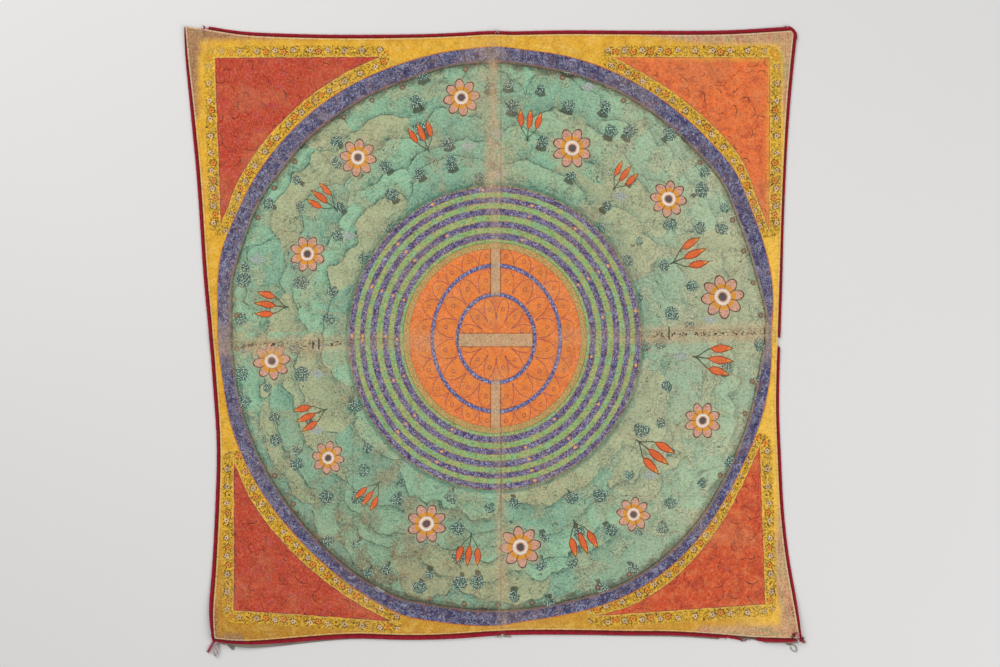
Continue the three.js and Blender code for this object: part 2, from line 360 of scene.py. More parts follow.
def make_effects():
    @effect(
        "Plain weave",
        {"Place": "vector", "Pitch": "number"},
        {"Height": "number", "Streak": "number"},
    )
    def weave(page, spot, pitch):
        """Yarns over and under, with uneven thickness; Place and Pitch are in millimetres."""
        spot = spot + (page.noise(spot, 0.09, 1, colour=True) - 0.5) * 1.1
        x, y, _ = page.split(spot)
        turn = math.pi
        warp = page.math("SINE", x / pitch * turn)
        weft = page.math("SINE", y / pitch * turn)
        over = abs(warp * weft)
        lean = page.noise(page.join(x * 0.9, y * 0.06), 1.0, 2)
        cross = page.noise(page.join(x * 0.06, y * 0.9), 1.0, 2)
        return over * (lean * 0.6 + 0.5), lean * 0.65 + cross * 0.35

    @effect("Grime", {"Place": "vector", "Size": "number"}, {"Patches": "number", "Specks": "number"})
    def grime(page, spot, size):
        """Soft patches and small specks; Size is that of a patch in millimetres."""
        patches = page.noise(spot / page.join(size, size, size), 1.0, 4, 0.6)
        specks = page.noise(spot, 0.42, 2, 0.7)
        return page.step(patches, 0.42, 0.68), page.step(specks, 0.68, 0.76)

    @effect(
        "From the middle",
        {"Place": "vector", "Middle": "vector", "Stretch": "vector"},
        {"Radius": "number", "Turn": "number"},
    )
    def polar(page, spot, middle, stretch):
        """Distance from a middle, and the share of a whole turn round it."""
        x, y, _ = page.split((spot - middle) * stretch)
        radius = page.reach(x, y)
        return radius, page.angle(y, x) / math.tau + 0.5

    @effect(
        "Ripple strokes",
        {"Run": "number", "Across": "number", "Size": "number"},
        {"Strokes": "number", "Washes": "number"},
    )
    def ripple(page, run, across, size):
        """Short curls and dots of a fine brush, along a painted ring."""
        spot = page.join(run * 0.8 / size, across / size)
        inputs = {"Vector": spot, "Scale": 0.9, "Randomness": 0.9}
        cells = page.node("ShaderNodeTexVoronoi", inputs, voronoi_dimensions="2D", feature="F1")
        dots = page.step(Mark(page, cells.outputs["Distance"]), 0.34, 0.2)
        dots = dots * page.step(page.noise(spot, 0.11, 1), 0.47, 0.58)
        drift = page.noise(spot, 0.27, 1, 0.5, warp=1.2)
        lines = page.contours(drift, 4.4, 0.25)
        broken = page.step(page.noise(spot, 0.3, 2), 0.38, 0.5)
        washes = page.noise(spot, 0.4, 3, 0.7)
        return page.most(lines * broken, dots * 0.8), washes

    @effect("Brush grain", {"Place": "vector"}, {"Light": "number", "Dark": "number"})
    def brush(page, spot):
        """Dry paint: small light and dark flecks that lean along the yarns."""
        x, y, _ = page.split(spot)
        first = page.noise(page.join(x * 0.34, y * 0.2), 1.0, 3, 0.75, warp=0.4)
        second = page.noise(page.join(x * 0.17 + 40.0, y * 0.26), 1.0, 3, 0.75, warp=0.4)
        return page.step(first, 0.5, 0.61), page.step(second, 0.5, 0.61)

    @effect(
        "Row of hills",
        {"Radius": "number", "Turn": "number", "Count": "number", "Foot": "number", "Rise": "number"},
        {"Depth": "number", "Shade": "number"},
    )
    def hills(page, radius, turn, count, foot, rise):
        """How deep a point lies below the outline of a ring of round hills."""
        cell = turn * count
        share = page.share(cell) - 0.5
        index = page.whole(cell)
        tall = page.noise(page.join(index * 1.37, foot), 0.77, 0)
        dome = page.root(0.26 - share * share)
        top = foot + (tall - 0.5) * 44.0 + rise * dome * (tall * 1.4 + 1.2)
        return top - radius, page.noise(page.join(index * 1.9, foot + 7.0), 0.83, 0)

    @effect(
        "Flower border",
        {"Run": "number", "Across": "number"},
        {"Colour": "colour", "Drawn": "number"},
    )
    def border(page, run, across):
        """A row of five petalled flowers among dark leaf strokes, 25 mm wide."""
        pitch, centre = 17.5, 12.8
        cell = run / pitch
        index = page.whole(cell)
        odd = page.share(index * 0.5) * 2
        chance = Mark(page, page.chance(index)["Value"])
        u = (page.share(cell) - 0.5) * pitch + chance * 3.0 - 1.5
        v = across - centre + odd * 2.4 + chance * 2.0 - 2.2
        reach = page.reach(u, v)
        angle = page.angle(v, u) + chance * 6
        seen = page.most(1.0 - odd, page.step(chance, 0.5, 0.52))
        petals = page.math("COSINE", angle * 5) * 1.2 + 4.4 + chance * 1.4
        flower = page.step(reach, petals + 0.5, petals - 0.3) * seen
        spot = page.join(run, across)
        veins = page.noise(spot, 0.13, 2, 0.6, warp=1.2)
        gaps = page.step(page.noise(spot, 0.19, 1), 0.36, 0.48)
        leaf = page.step(page.noise(spot, 0.2, 2, 0.6, warp=0.6), 0.47, 0.53)
        rim = page.near(reach, petals + 0.6, 0.9, 0.5) * page.step(gaps, 0.0, 0.5) * seen
        strokes = page.contours(veins, 5.0, 0.34) * gaps * (1.0 - flower * 0.8)
        inside = page.step(abs(across - centre), 13.2, 11.2)
        pale = page.mix("E8C69C", "CCAE84", page.step(chance, 0.35, 0.6))
        fill = page.mix(pale, "F09232", page.step(odd * 0.5 + chance, 0.9, 1.0))
        fill = fill.lay("7A4A2A", page.step(reach, 2.0, 1.2))
        colour = page.mix("C89A24", fill, flower).lay("46280A", page.most(strokes, rim))
        return colour, page.most(flower, leaf * 0.25, strokes * 0.95, rim) * inside

    @effect(
        "Petal ring",
        {"Radius": "number", "Turn": "number", "Count": "number", "From": "number", "To": "number"},
        {"Outline": "number", "Inside": "number", "Bead": "number"},
    )
    def petals(page, radius, turn, count, start, end):
        """Outlines of pointed petals between two radii, with a bead in each."""
        share = abs(page.share(turn * count) - 0.5) * 2
        up = (radius - start) / (end - start)
        wide = page.root(1.0 - up * up)
        wide = wide * (1.0 - up * up * 0.25) * 0.94
        offset = (share - wide) * radius * math.pi / count
        within = page.step(up, 0.0, 0.03) * page.step(up, 1.03, 1.0)
        outline = page.near(offset, 0.0, 0.9, 0.4) * within
        inside = page.step(offset, -0.5, -1.5) * within
        middle = (start + end) * 0.5
        gap_x, gap_y = share * radius * math.pi / count, radius - middle
        bead = page.reach(gap_x, gap_y)
        return outline, inside, page.near(bead, 3.6, 0.8, 0.5)

    @effect(
        "Twisted yarn",
        {"Run": "number", "Around": "number", "Pitch": "number"},
        {"Height": "number", "Shade": "number"},
    )
    def yarn(page, run, around, pitch):
        """Plies that wind round a cord, with fine fibres along them; Run is in millimetres."""
        ply = page.math("SINE", (around * 3 + run / pitch) * math.tau)
        fibre = page.noise(page.join(around * 34 + run / pitch * 11, run * 0.4), 1.0, 3, 0.7)
        return ply * 0.5 + fibre * 0.5, fibre


def surface(name, draw, roughness=0.9, sheen=0.0):
    """A material whose function gives its colour, height, bump strength and distance, and for
    some its roughness."""
    material = bpy.data.materials.new(name)
    material.use_nodes = True
    tree = material.node_tree
    tree.nodes.clear()
    page = Page(tree)
    result = draw(page)
    colour, height, strength, distance = result[:4]
    shader = page.node("ShaderNodeBsdfPrincipled")
    page.put(shader.inputs["Base Color"], colour)
    if len(result) > 4:
        page.put(shader.inputs["Roughness"], result[4])
    else:
        shader.inputs["Roughness"].default_value = roughness
    shader.inputs["Specular IOR Level"].default_value = 0.25
    shader.inputs["Sheen Weight"].default_value = sheen
    shader.inputs["Sheen Roughness"].default_value = 0.6
    bump = page.node("ShaderNodeBump", {"Height": height})
    bump.inputs["Strength"].default_value = strength
    bump.inputs["Distance"].default_value = distance
    tree.links.new(bump.outputs[0], shader.inputs["Normal"])
    out = page.node("ShaderNodeOutputMaterial")
    tree.links.new(shader.outputs[0], out.inputs["Surface"])
    return material


# ---- The painting ----


def painted_cotton(colours):
    """The painting from the cloth up: ground, corner fields, rings, disc, then wear and dirt."""

    def draw(page):
        flat = page.map("plan", 1000.0)
        weave, streak = page.use("Plain weave", Place=flat, Pitch=0.9)
        patches, specks = page.use("Grime", Place=flat, Size=26.0)
        light, deep = page.use("Brush grain", Place=flat)
        broad = page.noise(flat, 0.009, 3, 0.6)
        blot = page.noise(flat, 0.045, 3, 0.6)
        grain = page.noise(flat, 0.42, 3, 0.75)
        drawn = flat + (page.noise(flat, 0.017, 1, colour=True) - 0.5) * 5.0
        drawn = drawn + (page.noise(flat, 0.12, 1, colour=True) - 0.5) * 2.0
        flat_x, flat_y, _ = page.split(flat)
        edge = page.held("edge")
        fade = page.step(streak, 0.36, 0.66)
        wobble = (blot - 0.5) * 2.6 + (grain - 0.5) * 1.6

        # Yellow ground, over bare cloth.
        low = page.step(flat_y, -330.0, -560.0)
        ground = page.mix(colours.ground, colours.ground_low, low * 0.85 + broad * 0.2)
        ground = (
            ground.lay("FAD468", page.step(blot, 0.5, 0.7) * 0.35 + light * 0.3)
            # Painted light: the yellow is paler towards the right edge, where the light falls more strongly.
            .lay("FFCA4C", page.step(flat_x, 430.0, 560.0) * 0.95)
            .lay("BE8022", deep * 0.3 + page.step(blot, 0.45, 0.3) * 0.25)
        )
        lower_left = low * page.step(flat_x, -100.0, -500.0)
        ground = ground.lay("8A5418", lower_left * page.most(deep, streak) * 0.5)
        cloth = page.mix(colours.bare, "DAB084", fade * 0.6)
        level = page.step(flat_y, -560.0, -590.0)
        upright = page.join(flat_x * 0.22, flat_y * 0.014)
        lengthwise = page.join(flat_x * 0.014, flat_y * 0.22)
        tint = page.noise(page.mix(upright, lengthwise, level), 1.0, 2, 0.6)
        worn_left = page.step(flat_x, 0.0, -300.0)
        cloth = (
            cloth.lay("C47058", page.step(tint, 0.53, 0.6) * (0.75 - worn_left * 0.4))
            .lay("8E8C58", page.step(tint, 0.47, 0.4) * (0.6 - worn_left * 0.3))
            .lay("865634", deep * 0.3 + worn_left * 0.6)
            .lay("F0DDB8", light * (0.45 - worn_left * 0.2))
        )
        bare = page.held("bare") + (blot - 0.5) * 8.0 + (grain - 0.5) * 7.0
        painted = page.step(bare, -11.0, 8.0)
        colour = page.mix(cloth, ground, painted * 0.96)

        # Corner fields in red, each with its flower border.
        side_x, side_y, side_r = page.held("field_x"), page.held("field_y"), page.held("field_r")
        inside = page.least(side_x, side_y, side_r) + wobble * 0.7
        outside = page.held("field_out") + wobble
        radius, turn = page.use(
            "From the middle", Place=flat, Middle=(*OUTER["centre"], 0), Stretch=(*OUTER["stretch"], 1)
        )
        run_r = page.run(turn, 580)
        out_x, out_y, out_r = -1.0 * side_x, -1.0 * side_y, -1.0 * side_r
        by_y = page.math("GREATER_THAN", out_y, page.most(out_x, out_r))
        by_x = page.math("GREATER_THAN", out_x, page.most(out_y, out_r))
        run = page.math("MULTIPLY_ADD", by_y, flat_x - run_r, run_r)
        run = page.math("MULTIPLY_ADD", by_x, flat_y - run_r, run)
        petal_colour, petal = page.use("Flower border", Run=run, Across=page.most(out_x, out_y, out_r))
        ring_out, ring_in = page.held("ring_out") + wobble * 0.5, page.held("ring_in") + wobble * 0.5
        strip = page.step(outside, 25.5, 24.0) * page.step(ring_out, 1.0, 3.0)
        colour = colour.lay("F8C43A", strip * 0.7 * painted)
        faded = page.held("faded")
        colour = colour.lay(petal_colour, petal * strip * (1.0 - faded * 0.5))
        line = page.near(inside, -1.6, 0.9, 0.8) * page.step(grain, 0.4, 0.55)
        colour = colour.lay("F4D07C", line * 0.5)
        red = corner_red(page, colours, flat, drawn, light, deep, streak, broad, blot, grain)
        bleed = page.step(page.least(side_x, side_y) + (blot - 0.5) * 18.0, 12.0, -2.0)
        bleed = bleed * page.step(flat_x, 100.0, 500.0)
        red = red.lay("F2AA3C", bleed * page.step(flat_y, -100.0, 400.0) * 0.75)
        colour = colour.lay(red, page.step(inside, -0.7, 0.7))
        border = page.near(inside, 0.2, 0.6, 0.6) * page.step(blot, 0.36, 0.5)
        colour = colour.lay("54203A", border * 0.8)

        # The wide blue ring, a little out of round.
        stroke, wash = page.use("Ripple strokes", Run=run_r, Across=radius, Size=3.4)
        blue = page.mix(colours.ring, "464E7C", page.step(wash, 0.42, 0.6))
        blue = (
            blue.lay("1E1C40", deep * 0.55 + page.step(abs(flat_y), 380.0, 560.0) * 0.14)
            .lay("6E4E66", page.step(blot, 0.52, 0.64) * 0.35)
            .lay(colours.ripple, stroke * 0.5)
        )
        rubbed = page.step(flat_x, -300.0, -520.0) * 0.2 + page.step(blot, 0.5, 0.64) * 0.2
        blue = blue.lay("A8957A", light * (rubbed + 0.15))
        rubbed = page.near(flat_y + 18.0, (blot - 0.5) * 60.0, 34.0, 22.0)
        rubbed = rubbed * page.step(abs(flat_x), 480.0, 520.0)
        blue = blue.lay("A89488", rubbed * (grain * 0.5 + 0.35))
        blue = blue.lay("564638", page.step(ring_out, -5.0, -16.0) * deep * 0.4)
        colour = colour.lay(blue, page.step(ring_out, 0.4, -0.5))
        line = page.near(ring_out, 0.6, 1.3, 0.7) * page.step(grain, 0.34, 0.5)
        colour = colour.lay("B84430", line * (page.step(blot, 0.42, 0.58) * 0.5 + 0.35))

        # The green ring: rows of round hills, trees, blossoms.
        land = green_land(page, colours, flat, drawn, radius, turn, ring_in, light, deep, grain, blot)
        colour = colour.lay(land, page.step(ring_in, 0.5, -0.4))
        line = page.near(ring_in, -1.4, 2.2, 1.2) * page.step(grain, 0.3, 0.5)
        colour = colour.lay("94585A", line * (page.step(blot, 0.4, 0.6) * 0.35 + 0.35))

        # The narrow rings and the disc.
        colour = rings_and_disc(page, colours, colour, flat, wobble, light, deep, grain, blot)

        # Paint that has gone along the folds, stains and dirt, and painted shadow in the holes and the slit.
        wear, dark_marks_and_hole_shadow = fold_wear(page, flat_x, flat_y, blot, grain)
        worn = page.mix(colours.worn, "D0B48C", fade)
        worn = worn.lay("8A5E44", deep * 0.35 + specks * 0.4).lay("E0CCA4", light * 0.4)
        colour = colour.lay(worn, wear)
        dust = page.step(streak, 0.5, 0.68) * 0.16 + page.step(broad, 0.5, 0.7) * 0.1
        colour = colour.lay("D2B080", dust)
        dirt = patches * 0.12 + specks * 0.24 + deep * 0.1
        colour = colour.lay("33241A", dirt)
        # Dark creases and marks, with painted shadow in the holes and the slit.
        colour = colour.lay("2A2018", dark_marks_and_hole_shadow)

        # The rim that is folded under and sewn shows the paint it took, only paler; the paler strip is
        # partly a painted highlight along the rolled edge.
        rim = page.step(edge + (grain - 0.5) * 1.6, 3.6, 2.2)
        rim_paint_and_highlight = page.mix("E8BC96", "F0BC5C", painted)
        rim_paint_and_highlight = rim_paint_and_highlight.lay("A87C4C", deep * 0.6).lay("FCE4C4", light * 0.5)
        colour = colour.lay(rim_paint_and_highlight, rim * 0.85)
        colour = colour.lay("80603C", page.near(edge, 4.3, 0.5, 0.6) * 0.3)
        holes = page.near(page.share(flat_y / 4.2), 0.5, 0.2, 0.1)
        holes = holes * page.near(edge, 3.4, 1.2, 0.4) * page.near(flat_y, -585.0, 24.0, 10.0)
        colour = colour.lay("2C1A0E", holes * page.step(flat_x, -500.0, -520.0) * 0.9)
        height = weave * 0.5 + grain * 0.9 + stroke * 0.12
        rough = 0.95 - page.step(blot, 0.4, 0.7) * 0.12
        return colour, height, 0.4, 0.5 * MM, rough

    return surface("Painted cotton", draw, sheen=0.05)


def corner_red(page, colours, flat, drawn, light, deep, streak, broad, blot, grain):
    """Red of the corner fields, with small curled scratches."""
    flat_x, flat_y, _ = page.split(flat)
    right = page.step(flat_x, -200.0, 200.0)
    red = page.mix(colours.red_left, colours.red_right, right)
    red = (
        red.lay("CC3A1C", page.step(flat_y, 150.0, -250.0) * right * 0.8)
        .lay("D86832", page.step(broad, 0.45, 0.66) * (right * 0.2 + 0.15))
        .lay("A23430", page.step(blot, 0.47, 0.3) * 0.5)
        .lay("EE8A50", page.step(blot, 0.52, 0.7) * (right * 0.25 + 0.15))
    )
    middling = page.noise(flat, 0.1, 3, 0.7, warp=0.8)
    red = (
        red.lay("962A26", page.step(middling, 0.46, 0.32) * 0.45)
        .lay("F08C50", page.step(middling, 0.54, 0.68) * (right * 0.25 + 0.2))
        .lay("B4304E", page.step(blot, 0.53, 0.66) * (0.4 - right * 0.4))
        .lay("8C2A26", page.step(streak, 0.55, 0.7) * 0.25 + deep * 0.22)
        .lay("F8A070", light * 0.26)
    )
    _, dice, size, u, v = page.scatter(drawn, 0.031, 1.0)
    reach = page.reach(u, v) + (blot - 0.5) * 9.0
    angle = page.angle(v, u) / math.tau + dice
    arc = page.near(reach, size * 9.0 + 6.0, 0.8, 0.6)
    part = page.near(page.share(angle), 0.5, 0.17, 0.06)
    scratch = arc * part * page.step(dice, 0.2, 0.25) * page.step(grain, 0.32, 0.46)
    return red.lay("44161A", scratch * 0.9)


def green_land(page, colours, flat, drawn, radius, turn, ring_in, light, deep, grain, blot):
    """Generic country for the wide green ring: hills in rows, round trees and blossoms."""
    bend = page.noise(flat, 0.013, 2, 0.5)
    wavy = radius + (bend - 0.5) * 60.0
    shift = turn + (page.noise(flat, 0.006, 1) - 0.5) * 0.1
    run = page.run(turn, 424)
    strokes = page.noise(page.join(run * 0.05, wavy * 0.26), 1.0, 3, 0.7, warp=0.7)
    dry = page.step(strokes, 0.5, 0.62)
    colour = page.mix(colours.land, "8CB89C", page.step(bend, 0.4, 0.6))
    rows = ((506, 17, 40), (462, 15, 44), (416, 13, 46), (366, 12, 44), (322, 10, 40))
    for i, (foot, count, rise) in enumerate(rows):
        depth, kind = page.use(
            "Row of hills",
            Radius=wavy,
            Turn=shift + i * 0.137,
            Count=float(count),
            Foot=float(foot),
            Rise=float(rise),
        )
        body = page.step(depth, -0.4, 0.6)
        hill = page.mix(colours.land, colours.land_pale, page.step(kind, 0.5, 0.58))
        hill = hill.lay("82AE92", page.step(kind, 0.42, 0.36) * 0.7)
        hill = hill.lay(colours.land_deep, page.step(depth, 20.0, 60.0) * 0.22)
        colour = colour.lay(hill, body)
        shadow = page.step(depth, -14.0, -1.0) * (1.0 - body) * (dry * 0.7 + 0.35)
        outline = page.near(depth, 0.0, 1.3, 0.9) * page.step(blot, 0.32, 0.48)
        colour = colour.lay(colours.land_deep, shadow * 0.85)
        colour = colour.lay("183A36", outline * (grain * 0.9 + 0.35))
    edges = page.most(page.step(ring_in, -24.0, -1.0), page.step(radius, 322.0, 300.0))
    edges = edges * (dry * 0.7 + 0.4)
    colour = colour.lay(colours.land_deep, edges * 0.75)
    cloudy = page.step(page.noise(flat, 0.02, 3, 0.6), 0.46, 0.66)
    flat_x, flat_y, _ = page.split(flat)
    colour = colour.lay("C6B88C", cloudy * 0.46)
    # Painted light: the green is paler over the right half, where the light falls more strongly.
    colour = colour.lay("CCCCA6", page.step(flat_x, 80.0, 420.0) * (cloudy * 0.3 + 0.42))
    lower_left = page.step(flat_y, -150.0, -480.0) * page.step(flat_x, 100.0, -200.0)
    colour = (
        colour.lay("7C5638", lower_left * (cloudy * 0.35 + 0.28))
        .lay(colours.land_deep, dry * page.step(bend, 0.48, 0.6) * 0.4)
        .lay("BCD8B4", light * 0.42)
        .lay("3A6A5C", deep * 0.3)
    )
    near_edge = page.step(ring_in + (blot - 0.5) * 26.0, -18.0, -7.0) * (grain * 0.7 + 0.35)
    colour = colour.lay("46301E", near_edge * (page.step(abs(flat_y), 100.0, 520.0) * 0.5 + 0.35))
    colour = colour.lay("1E2420", page.near(ring_in, -4.8, 1.8, 1.2) * page.step(grain, 0.36, 0.5) * 0.75)
    blades = page.contours(page.noise(flat, 0.07, 3, 0.6, warp=0.8), 7.0, 0.13)
    blades = blades * page.step(page.noise(flat, 0.02, 1), 0.44, 0.54)
    colour = colour.lay("20483E", blades * 0.75)

    # Round trees with dotted crowns on short trunks that point to the middle.
    here, dice, dice_2, u, v = page.scatter(drawn, 0.0165, 0.8)
    span = page.reach(u, v)
    crown = span + (blot - 0.5) * 13.0 + (grain - 0.5) * 5.0
    size = dice_2 * 6.0 + 9.0
    is_tree = page.step(dice, 0.36, 0.37)
    leaves = page.step(crown, size + 0.8, size - 0.8) * is_tree
    dots = page.noise(flat, 0.4, 1, 0.5)
    leaf = page.mix("35635A", "C2D2C0", page.step(dots, 0.56, 0.62))
    leaf = leaf.lay("142A28", page.step(dots, 0.44, 0.37))
    leaf = leaf.lay(colours.land, page.step(blot, 0.55, 0.7) * 0.3)
    home_x, home_y, _ = page.split(here)
    home = page.reach(home_x, home_y)
    drop = radius - home
    slide = page.root(span * span - drop * drop)
    trunk = page.step(slide, 1.9, 0.9) * page.step(drop, 0.0, -3.0) * page.step(span, size + 9.0, size + 7.0)
    colour = colour.lay("3A3C30", trunk * is_tree * 0.8)
    colour = colour.lay(leaf, leaves * 0.88)
    pond = page.step(abs(u) * 0.06 + abs(v) * 0.1, 1.05, 0.95) * page.step(dice, 0.1, 0.09)
    net = page.mix("B9BFB4", "7E9290", page.step(dots, 0.5, 0.56))
    colour = colour.lay(net, pond * 0.85)

    # Twenty four large blossoms by turns: a pink lotus, and a spray of orange buds.
    count = 24.0
    cell = turn * count
    index = page.whole(cell)
    odd = page.share(index * 0.5) * 2
    aside, out, size = page.split(Mark(page, page.chance(index)["Color"], True))
    x = (page.share(cell) - 0.5) * radius * math.tau / count
    x = (x + (aside - 0.5) * 26.0 + (blot - 0.5) * 4.0) * (size * 0.3 + 0.8)
    y = (radius - 430.0 + (out - 0.5) * 84.0) * (size * 0.3 + 0.8)
    reach = page.reach(x, y)
    angle = page.angle(y, x)
    wave = abs(page.math("COSINE", angle * 4.0))
    rim = wave * 12.0 + 25.0 + (grain - 0.5) * 2.0
    lotus = page.step(reach, rim + 0.5, rim - 0.5) * (1.0 - odd)
    pink = page.mix("CF9279", "E4B89C", page.step(grain, 0.42, 0.6))
    pink = (
        pink.lay("A86A58", deep * 0.5)
        .lay("E29A30", page.near(reach, 18.0, 3.2, 0.8))
        .lay("EFE2CC", page.near(reach, 11.0, 2.2, 0.8))
        .lay("5E5254", page.step(reach, 7.2, 6.2))
    )
    veins = page.step(wave, 0.26, 0.12) * page.step(reach, 12.0, 15.0)
    pink = pink.lay("6A4A48", veins * 0.8)
    pink = pink.lay("4E423C", page.near(reach, rim - 1.2, 1.3, 0.5))
    clear = page.step(reach, rim + 10.0, rim + 2.0) * (1.0 - odd)
    colour = colour.lay("ADB08C", clear * 0.55)
    colour = colour.lay(pink, lotus)
    for lean, high, far in ((0.0, 22.0, 0.0), (0.42, 19.0, 16.0), (-0.42, 19.0, -16.0)):
        bud_x = x - far - (y + 14.0) * lean * 0.35
        bud_y = (y - 4.0) / high
        wide = page.most(1.0 - bud_y * bud_y, 0.0) * (0.72 - bud_y * 0.28) * 9.0
        flank = abs(bud_x) - wide
        bud = page.step(flank, 0.5, -0.3) * odd
        skin = page.mix("E2622C", "ECA040", page.step(bud_y, 0.35, 0.6))
        skin = skin.lay("F08A50", light * 0.5)
        skin = skin.lay("7C2C1E", page.near(flank, -0.7, 0.8, 0.5))
        stem = page.near(x - far * page.step(y, -40.0, -12.0), 0.0, 1.1, 0.5)
        stem = stem * page.near(y, -28.0, 14.0, 1.0)
        colour = colour.lay("30503E", stem * odd)
        colour = colour.lay(skin, bud)

    # Blotted brown stones just inside the blue ring.
    stone_cell = turn * 50.0
    stone_x = (page.share(stone_cell) - 0.5) * radius * math.tau / 50.0
    stone_y = ring_in + 14.0
    stone = page.reach(stone_x, stone_y) + (grain - 0.5) * 9.0
    keep = page.step(page.noise(page.join(page.whole(stone_cell), 3.0), 0.9, 0), 0.42, 0.48)
    colour = colour.lay("5C4430", page.step(stone, 6.4, 5.0) * keep * 0.8)
    return colour.lay("C08C74", page.step(stone, 2.8, 1.8) * keep * 0.8)


def rings_and_disc(page, colours, colour, flat, wobble, light, deep, grain, blot):
    """The narrow blue and green rings, and the orange disc inside them."""
    radius, turn = page.use(
        "From the middle", Place=flat, Middle=(*INNER["centre"], 0), Stretch=(*INNER["stretch"], 1)
    )
    radius = radius + wobble * 0.9
    run = page.run(turn, 250)
    green, blue, line = (tuple(getattr(colours, n)) for n in ("band", "ring", "ring_line"))
    start, span = 176.0, 132.0
    rings = [(198, 209), (222, 232.5), (247, 258), (270.5, 280), (292, 301.5)]
    cream, rust = linear("D8AE6C"), linear("96602E")
    stops = [(0, rust), (178.5, cream), (189.5, linear("6F7040")), (191, green)]
    masks = [(0, (0, 0, 0))]
    for low, high in rings:
        stops += [(low - 1.5, line), (low, blue), (high, line), (high + 1.5, green)]
        masks += [(low, (1, 1, 1)), (high, (0, 0, 0))]
    stops[-1] = (303.5, linear("2C3C38"))
    share = (radius - start) / span
    stops = [(max(0, (r - start) / span), c) for r, c in stops]
    masks = [(max(0, (r - start) / span), c) for r, c in masks]
    base = page.bands(share, stops)
    is_blue = page.bands(share, masks)
    stroke, wash = page.use("Ripple strokes", Run=run, Across=radius, Size=2.6)
    is_green = page.step(radius, 190.0, 192.0) * (1.0 - is_blue)
    base = (
        base.lay("6664A0", is_blue * page.step(wash, 0.45, 0.6) * 0.5)
        .lay(colours.ripple, is_blue * stroke * 0.7)
        .lay("28204E", is_blue * deep * 0.75)
        .lay("B89AA0", is_blue * light * 0.45)
        .lay("BAB074", is_green * page.step(blot, 0.48, 0.6) * 0.6)
        .lay("8CB896", is_green * page.step(blot, 0.46, 0.38) * 0.6)
        .lay("D2CC8C", is_green * light * 0.4)
        .lay("557A4A", is_green * deep * 0.55)
    )
    frame_ring = page.near(radius, 184.0, 5.5, 1.0)
    beads = page.step(page.noise(page.join(run * 0.3, radius * 0.3), 1.0, 1, warp=0.4), 0.46, 0.54)
    base = base.lay("8A4E26", frame_ring * beads * 0.6)
    base = base.lay("9CA860", frame_ring * light * 0.6)
    gem_run = run / 92.0
    gem_x = abs(page.share(gem_run) - 0.5) * 92.0
    gem_row = page.least(*[abs(radius - (a + b) * 0.5) for a, b in rings])
    pick = page.noise(page.join(page.whole(gem_run), page.whole(radius / 24.0)), 0.7, 0)
    gem = page.step(gem_x / 4.6 + gem_row / 3.2, 1.05, 0.85) * page.step(pick, 0.5, 0.55)
    base = base.lay("F0A85C", gem)

    # The disc: plain rings of petals round a rosette.
    orange = page.mix(colours.disc, "E26A2C", page.step(blot, 0.4, 0.65) * 0.7)
    orange = orange.lay("F8B084", light * 0.5)
    orange = orange.lay("B4502C", deep * 0.3)
    disc_radius, disc_turn = page.use(
        "From the middle", Place=flat, Middle=(-3.5, -11.0, 0), Stretch=(1.14, 1.0, 1)
    )
    disc_radius = disc_radius + wobble * 0.5
    rows = ((24.0, 152.0, 180.0), (16.0, 96.0, 140.0), (12.0, 38.0, 82.0))
    for count, low, high in rows:
        outline, inside, dot = page.use(
            "Petal ring", Radius=disc_radius, Turn=disc_turn, Count=count, From=low, To=high
        )
        orange = orange.lay("EE8A38", inside * 0.4)
        drawn = page.most(outline * 0.85, dot * 0.8) * (grain + 0.45)
        orange = orange.lay(colours.disc_line, drawn)
    thin = page.least(abs(disc_radius - 88.0), abs(disc_radius - 146.0))
    thin_blue = page.mix("565A94", "B4B6D0", page.step(light, 0.3, 0.6))
    orange = orange.lay("6A3A48", page.near(thin, 4.2, 0.8, 0.6) * 0.6)
    orange = orange.lay(thin_blue.lay("2E2A58", deep * 0.6), page.step(thin, 3.9, 3.2))
    base = page.mix(orange, base, page.step(radius, 177.4, 178.2))
    colour = colour.lay(base, page.step(radius, 305.5, 304.5))
    shade = page.near(radius, 308.0, 3.0, 3.5) * (grain * 0.6 + 0.3)
    return colour.lay(colours.land_deep, shade)


